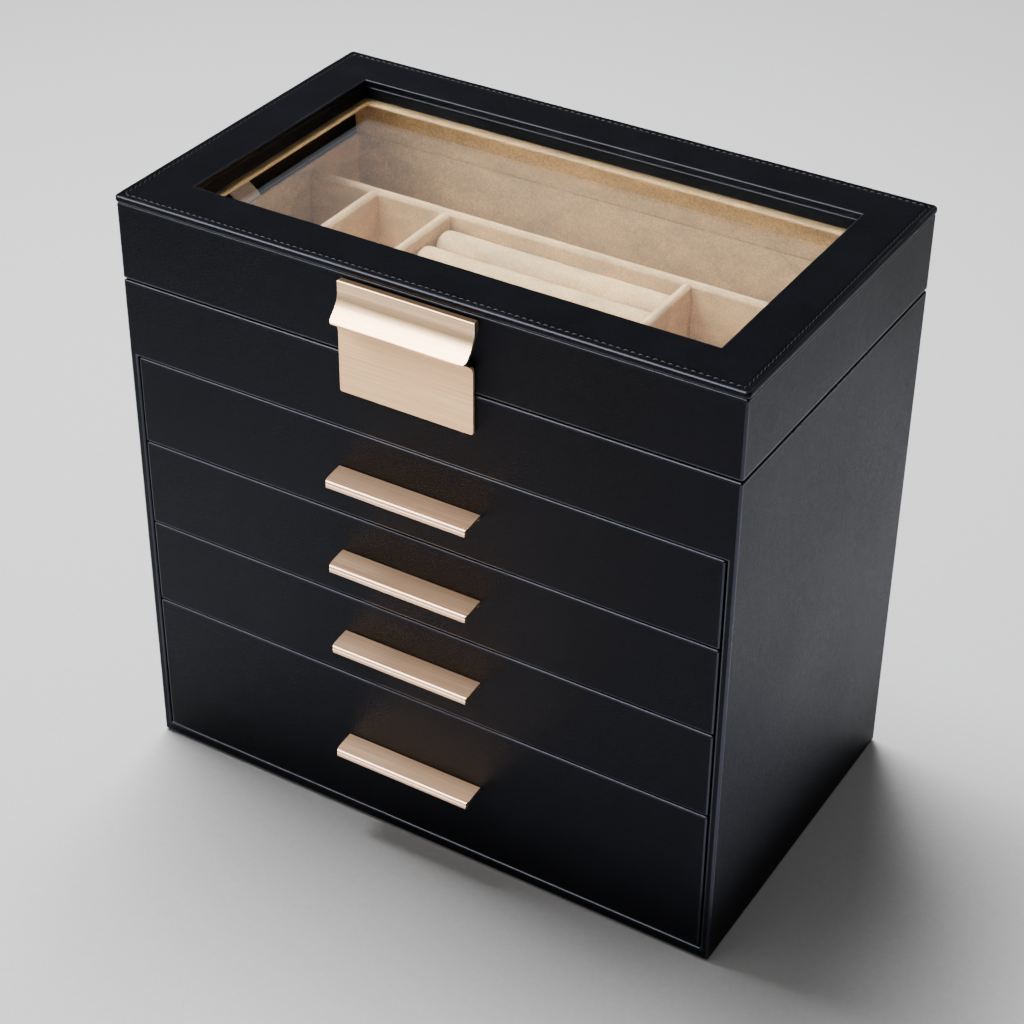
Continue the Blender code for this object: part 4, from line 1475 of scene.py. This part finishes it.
@dataclass
class Lid:
    """The glazed lid: wrapped rim, stitched top board, window frame, pane and its velvet retainer."""

    edge: float = 1.1 * MM
    top_edge: float = 1.25 * MM
    window_edge: float = 0.7 * MM
    corner: float = 2.2 * MM
    seam_inset: float = 3.3 * MM
    seam_depth: float = 0.45 * MM
    pitch: float = 3.1 * MM
    stitch: float = 2.35 * MM
    stitch_rise: float = 1.0 * MM
    thread: float = 0.30 * MM
    pane_overlap: float = 5 * MM
    body: str = "lid"

    def rim(self) -> Piece:
        """Build the rim's four walls in one wrap.

        Returns:
            The rim.
        """
        left, left_in = sides("lid_rim_left")
        right_in, right = sides("lid_rim_right")
        _, front_in = sides("lid_rim_front")
        back_in, _ = sides("lid_rim_back")
        cell = 20 * MM
        shape = cell_solid(knots(left.x, left_in.x, right_in.x, right.x, about=cell),
                           knots(left.y, front_in.y, back_in.y, right.y, about=cell),
                           knots(left.z, right.z, about=12 * MM),
                           lambda x, y, z: not (left_in.x < x < right_in.x and front_in.y < y < back_in.y))

        def outer(at: Vector) -> bool:
            """Say whether an edge lies on the rim's outside."""
            return min(at.x - left.x, right.x - at.x, at.y - left.y, right.y - at.y) < 0.5 * MM

        round_edges(shape, self.edge, 4, outer)
        round_edges(shape, 0.6 * MM, 2, lambda at: not outer(at))
        return mesh_object("lid_rim_wrap", shape)

    def top(self) -> Piece:
        """Build the top board's ring: a bullnose outside, a seam groove, and a rolled edge at the window.

        Returns:
            The top board.
        """
        low, high = sides("lid_top_board")
        in_x = self.window_x()
        width = high.x - in_x
        nose, turn = self.top_edge, self.window_edge
        out_top = arc((nose, high.z - nose), nose, 180, 90, 6)
        in_top = arc((width - turn, high.z - turn), turn, 90, 0, 4)
        at, deep = self.seam_inset, self.seam_depth
        groove = [(at - 0.9 * MM, high.z), (at - 0.35 * MM, high.z - deep * 0.8), (at, high.z - deep),
                  (at + 0.35 * MM, high.z - deep * 0.8), (at + 0.9 * MM, high.z)]
        plain = [(w, high.z) for w in (at + 2.5 * MM, width / 2, width - 4 * MM, width - 1.5 * MM)]
        below = [(width, low.z + 0.3 * MM), (width - 0.3 * MM, low.z), (width / 2, low.z), (0.9 * MM, low.z)]
        out_low = arc((0.9 * MM, low.z + 0.9 * MM), 0.9 * MM, 250, 190, 3)
        profile = [*out_top, *groove, *plain, *in_top, *below, *out_low]
        shape = ring_sweep(profile, (high.x, high.y), self.corner, 8 * MM, 6)
        ruffle(shape, 0.07 * MM, 30 * MM, 14.0, lambda p: 0.0 if p.z > high.z - 0.02 * MM else 1.0)
        seam = (at - 1.2 * MM, at + 1.2 * MM)
        mark_stretched_edges_painted_highlight(shape, lambda p: not seam[0] < min(high.x - abs(p.x), high.y - abs(p.y)) < seam[1])
        return mesh_object("lid_top_wrap", shape)

    def window_x(self) -> float:
        """Return half the window's length."""
        return sides("lid_glass")[1].x - self.pane_overlap

    def frame_ring(self) -> Piece:
        """Build the wrapped frame below the top board, its inner edge a soft double roll.

        Returns:
            The frame.
        """
        low, high = sides("lid_window_frame")
        inner = self.window_x() + 0.4 * MM
        width = high.x - inner
        soft = 0.9 * MM
        profile = [(0.0, low.z), (0.0, high.z), *((w, high.z) for w in (width / 2, width - 3 * MM)),
                   *arc((width - soft, high.z - soft), soft, 90, 0, 5),
                   *arc((width - soft, low.z + soft), soft, 0, -90, 5), (width / 2, low.z)]
        shape = ring_sweep(profile, (high.x, high.y), 0.3 * MM, 12 * MM, 3)
        mark_stretched_edges_painted_highlight(shape)
        return mesh_object("lid_frame_wrap", shape)

    def retainer(self) -> Piece:
        """Build the velvet-covered ledge that holds the pane from below.

        Returns:
            The ledge.
        """
        low, high = sides("glass_retainer")
        glass_low, glass_high = sides("lid_glass")
        inner = high.x - (self.window_x() - 1.2 * MM)
        rebate = high.x - (glass_high.x + 0.3 * MM)
        ledge = glass_low.z - 0.3 * MM
        soft = 0.5 * MM
        profile = [(0.0, low.z), (0.0, high.z), (rebate - 0.3 * MM, high.z), (rebate, high.z - 0.3 * MM),
                   (rebate, ledge), *((w, ledge) for w in steps(rebate, inner - soft, 1.5 * MM)[1:]),
                   *arc((inner - soft, ledge - soft), soft, 80, 0, 3),
                   *arc((inner - soft, low.z + soft), soft, 0, -90, 3),
                   (inner - 3 * MM, low.z), (inner / 2, low.z)]
        shape = ring_sweep(profile, (high.x, high.y), 0.3 * MM, 6 * MM, 2)
        ruffle(shape, 0.12 * MM, 15 * MM, 17.0, lambda p: 1.0 if p.z < ledge - 0.2 * MM else 0.2)
        return mesh_object("pane_retainer_velvet", shape, weighted=False)

    def back_lining(self) -> Piece:
        """Build the velvet strip inside the rim's back wall.

        Returns:
            The strip.
        """
        low, high = sides("lid_back_lining")
        low.z -= VELVET_PROUD
        shape = slab(low, high, (6 * MM, WHOLE, 4 * MM))
        round_edges(shape, 0.3 * MM, 2)
        ruffle(shape, 0.14 * MM, 20 * MM, 19.0, lambda p: 1.0 if p.y < high.y - 0.5 * MM else 0.0)
        return mesh_object("lid_back_velvet", shape, weighted=False)

    def stitches(self) -> Piece:
        """Sew the row round the top board.

        Returns:
            The row as one mesh.
        """
        low, high = sides("lid_top_board")
        reach = (high.x - self.seam_inset, high.y - self.seam_inset)
        level = high.z - self.seam_depth
        curve = bpy.data.curves.new("seam_path", "CURVE")
        curve.dimensions = "3D"
        path = curve.splines.new("POLY")
        corners = [(sx * reach[0], sy * reach[1], level) for sx, sy in ((1, 1), (-1, 1), (-1, -1), (1, -1))]
        path.points.add(len(corners) - 1)
        for point, at in zip(path.points, corners):
            point.co = (*at, 1.0)
        path.use_cyclic_u = True
        carrier = bpy.data.objects.new("seam_path", curve)
        bpy.context.scene.collection.objects.link(carrier)
        sizes = {"Pitch": self.pitch, "Stitch Length": self.stitch, "Rise": self.stitch_rise,
                 "Thread Radius": self.thread, "Seed": 11}
        return StitchRow("stitch_row", THREAD, sizes).grow(carrier, "lid_top_stitching", sizes)

    def build(self) -> None:
        """Make and dress the lid."""
        settle(self.rim(), self.body, LEATHER,
               tuple(f"lid_rim_{side}" for side in ("left", "right", "front", "back")))
        settle(self.top(), self.body, LEATHER, ("lid_top_board",))
        settle(self.frame_ring(), self.body, LEATHER, ("lid_window_frame",))
        settle(self.retainer(), self.body, VELVET, ("glass_retainer",))
        settle(self.back_lining(), self.body, VELVET, ("lid_back_lining",))
        settle(self.stitches(), self.body, THREAD)
        repaint("lid_glass", GLASS)
        Stay().build()


@dataclass
class Stay:
    """The ribbon that stops the lid: shut, it lies in small folds with one broad slope over them."""

    folds: int = 4
    fold_rise: float = 1.1 * MM
    fold_reach: float = 6.0 * MM
    fold_rest: float = 0.6 * MM
    reach: float = 8.6 * MM
    slope_top: float = 15.5 * MM
    thick: float = 0.35 * MM

    def path(self) -> list[Vector]:
        """Return the ribbon's line from the case wall up to the lid wall, never running back down.

        Returns:
            Points from the lower end to the upper one.
        """
        low, high = sides("ribbon_stay")
        wall = low.x + 0.3 * MM
        base = low.z + 0.5 * MM
        line = [Vector((wall, 0.0, low.z - 0.2 * MM))]

        def sweep(start: float, end: float, bottom: float, top: float, count: int = 8) -> None:
            """Add one smooth run across, from start to end, while it climbs.

            Args:
                start: Where the run begins, across.
                end: Where it ends, across.
                bottom: Its height at the start.
                top: Its height at the end.
                count: How many points it takes.
            """
            for i in range(count):
                share = (i + 0.5) / count
                across = (1 - math.cos(math.pi * share)) / 2
                line.append(Vector((start + (end - start) * across, 0.0, bottom + (top - bottom) * share)))

        near = wall
        for fold in range(self.folds):
            out = self.fold_reach * (1.0 - 0.12 * math.sin(1.9 * fold)) if fold % 2 == 0 else self.fold_rest
            far = wall + out
            sweep(near, far, base + fold * self.fold_rise, base + (fold + 1) * self.fold_rise)
            near = far
        level = base + self.folds * self.fold_rise
        outer = wall + self.reach
        sweep(near, outer, level, level + 1.6 * MM)
        sweep(outer, wall, level + 1.6 * MM, low.z + self.slope_top, 14)
        line.append(Vector((wall, 0.0, low.z + self.slope_top + 1.5 * MM)))
        line.append(Vector((wall, 0.0, high.z - 0.6 * MM)))
        return line

    def build(self) -> None:
        low, high = sides("ribbon_stay")
        line = self.path()
        shape = bmesh.new()
        layer = shape.loops.layers.uv.new("ribbon_map")
        across = steps(low.y, high.y, 1.6 * MM)
        run, rows, marks = 0.0, [], []
        for number, at in enumerate(line):
            run += (at - line[number - 1]).length if number else 0.0
            bow = 0.35 * MM * math.sin(run / (9 * MM))
            rows.append([shape.verts.new((at.x + bow * math.sin(math.pi * i / (len(across) - 1)), y, at.z))
                         for i, y in enumerate(across)])
            marks.append(run)
        for number, (first, second) in enumerate(zip(rows, rows[1:])):
            for i in range(len(across) - 1):
                made = shape.faces.new((first[i], first[i + 1], second[i + 1], second[i]))
                places = ((i, number), (i + 1, number), (i + 1, number + 1), (i, number + 1))
                for loop, (column, row) in zip(made.loops, places):
                    loop[layer].uv = (across[column] - across[0], marks[row])
        ribbon = mesh_object("stay_ribbon_folded", shape, weighted=False)
        ribbon.data.materials.append(RIBBON.material())
        wall = ribbon.modifiers.new("thickness", "SOLIDIFY")
        wall.thickness = self.thick
        wall.offset = 0.0
        graph = bpy.context.evaluated_depsgraph_get()
        ribbon.data = bpy.data.meshes.new_from_object(ribbon.evaluated_get(graph), depsgraph=graph)
        ribbon.modifiers.clear()
        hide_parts("ribbon_stay")
        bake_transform(ribbon)


@dataclass
class Hinges:
    """Two butt hinges at the back, each leaf held by three screws."""

    screw_radius: float = 1.7 * MM
    screw_rise: float = 0.55 * MM
    leaf: float = 0.8 * MM
    inset: float = 4.5 * MM
    near: float = 7.6 * MM
    far: float = 10.6 * MM

    def carrier(self, leaf: str) -> list[Point]:
        """Return the screw places on one leaf: two near its ends and one between.

        Args:
            leaf: The CAD leaf.

        Returns:
            Three places on its outer face.
        """
        low, high = sides(leaf)
        upward = 1 if "lid" in leaf else -1
        root = low.z if upward > 0 else high.z
        face = low.y + self.leaf
        far, near = root + upward * self.far, root + upward * self.near
        return [(low.x + self.inset, face, far), ((low.x + high.x) / 2, face, near),
                (high.x - self.inset, face, far)]

    def build(self) -> None:
        """Repaint the leaves and pins, and put the screws in."""
        sizes = {"Head Radius": self.screw_radius, "Head Height": self.screw_rise, "Seed": 5}
        tree = ScrewSet("screw_set", SCREW, sizes)
        for body, part, seed in (("case", "case_leaf", 5), ("lid", "lid_leaf", 6)):
            places: list[Point] = []
            for side in ("left", "right"):
                repaint(f"hinge_{side}_{part}", BRASS)
                places += self.carrier(f"hinge_{side}_{part}")
            mesh = bpy.data.meshes.new(f"screw_points_{body}")
            mesh.from_pydata(places, [], [])
            carrier = bpy.data.objects.new(f"screw_points_{body}", mesh)
            bpy.context.scene.collection.objects.link(carrier)
            screws = tree.grow(carrier, f"hinge_screws_{body}", {**sizes, "Seed": seed})
            settle(screws, body, SCREW)
        for side in ("left", "right"):
            repaint(f"hinge_{side}_pin", SCREW)


# ---------------------------------------------------------------- the studio


@dataclass(frozen=True)
class SoftBox:
    """A rectangular lamp; one that matt surfaces don't take is a card, seen only in reflections.

    The sizes are in metres, and the colour is sRGB hex.
    """

    name: str
    at: Point
    size: tuple[float, float]
    watts: float
    colour: str
    target: Point = (0.0, 0.0, 0.14)
    matt: bool = False
    glossy: bool = True

    def hang(self) -> None:
        """Make the lamp and turn it to its target."""
        data = bpy.data.lights.new(self.name, "AREA")
        data.shape, data.size, data.size_y = "RECTANGLE", *self.size
        data.energy = self.watts
        data.color = linear(self.colour)[:3]
        lamp = bpy.data.objects.new(self.name, data)
        aim = Vector(self.target) - Vector(self.at)
        lamp.matrix_world = Matrix.Translation(self.at) @ aim.to_track_quat("-Z", "Y").to_matrix().to_4x4()
        lamp.visible_diffuse, lamp.visible_glossy = self.matt, self.glossy
        bpy.context.scene.collection.objects.link(lamp)


SOFT_BOXES = (
    SoftBox("overhead", (-0.42, 0.26, 1.45), (0.9, 0.5), 46.0, "ffffff", matt=True, glossy=False),
    SoftBox("front_bounce", (0.05, -0.31, 0.012), (0.9, 0.40), 1.3, "f4f4ff", target=(0.05, -0.31, 1.0)),
    SoftBox("side_bounce", (0.35, 0.05, 0.012), (0.38, 0.7), 0.8, "e9ecff", target=(0.35, 0.05, 1.0)),
    SoftBox("front_card", (-0.62, -0.85, 1.35), (1.2, 1.0), 72.0, "fffdfa"),
    SoftBox("back_card", (-1.1, 1.8, 1.6), (3.0, 2.4), 8.0, "e6ecff"),
)


@dataclass
class Studio:
    """Pale floor, soft lights and the camera."""

    eye: Point = (0.44119597, -0.74046208, 0.72466544)
    look: Point = (-0.42967953, 0.7124815, -0.55474824)
    up: Point = (-0.29428749, 0.47031699, 0.83198365)
    lens: float = 83.265
    sensor: float = 36.0
    shift_y: float = -0.0410
    clip: tuple[float, float] = (0.05, 20.0)
    floor_half: float = 4.0
    sky: str = "f1eeec"
    sky_strength: float = 0.16

    def camera(self) -> None:
        """Place the camera."""
        data = bpy.data.cameras.new("view")
        data.lens, data.sensor_width = self.lens, self.sensor
        data.shift_y = self.shift_y
        data.clip_start, data.clip_end = self.clip
        data.dof.use_dof = False
        ahead, up = Vector(self.look).normalized(), Vector(self.up).normalized()
        right = ahead.cross(up).normalized()
        up = right.cross(ahead)
        turn = Matrix((right, up, -ahead)).transposed().to_4x4()
        cam = bpy.data.objects.new("view", data)
        cam.matrix_world = Matrix.Translation(self.eye) @ turn
        bpy.context.scene.collection.objects.link(cam)
        bpy.context.scene.camera = cam

    def floor(self) -> None:
        """Lay the pale floor just under the felt."""
        low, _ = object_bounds()
        shape = bmesh.new()
        bmesh.ops.create_grid(shape, x_segments=8, y_segments=8, size=self.floor_half)
        bmesh.ops.translate(shape, verts=shape.verts, vec=(0.0, 0.0, low.z - 0.05 * MM))
        ground = mesh_object("studio_floor", shape, weighted=False)
        ground.data.materials.append(FLOOR.material())
        ground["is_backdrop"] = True

    def build(self) -> None:
        """Set up the whole studio."""
        self.camera()
        self.floor()
        world = bpy.data.worlds.new("studio")
        world.use_nodes = True
        sky = next(n for n in world.node_tree.nodes if n.type == "BACKGROUND")
        sky.inputs["Color"].default_value = linear(self.sky)
        sky.inputs["Strength"].default_value = self.sky_strength
        bpy.context.scene.world = world
        for box in SOFT_BOXES:
            box.hang()


def main() -> None:
    """Build every sub-assembly in order."""
    logging.basicConfig(level=logging.INFO, format="%(name)s %(message)s")
    Studio().build()
    Case().build()
    Tray().build()
    for number in (1, 2, 3, 4):
        Drawer(number).build()
    Clasp().build()
    Lid().build()
    Hinges().build()


if __name__ == "__main__":
    main()
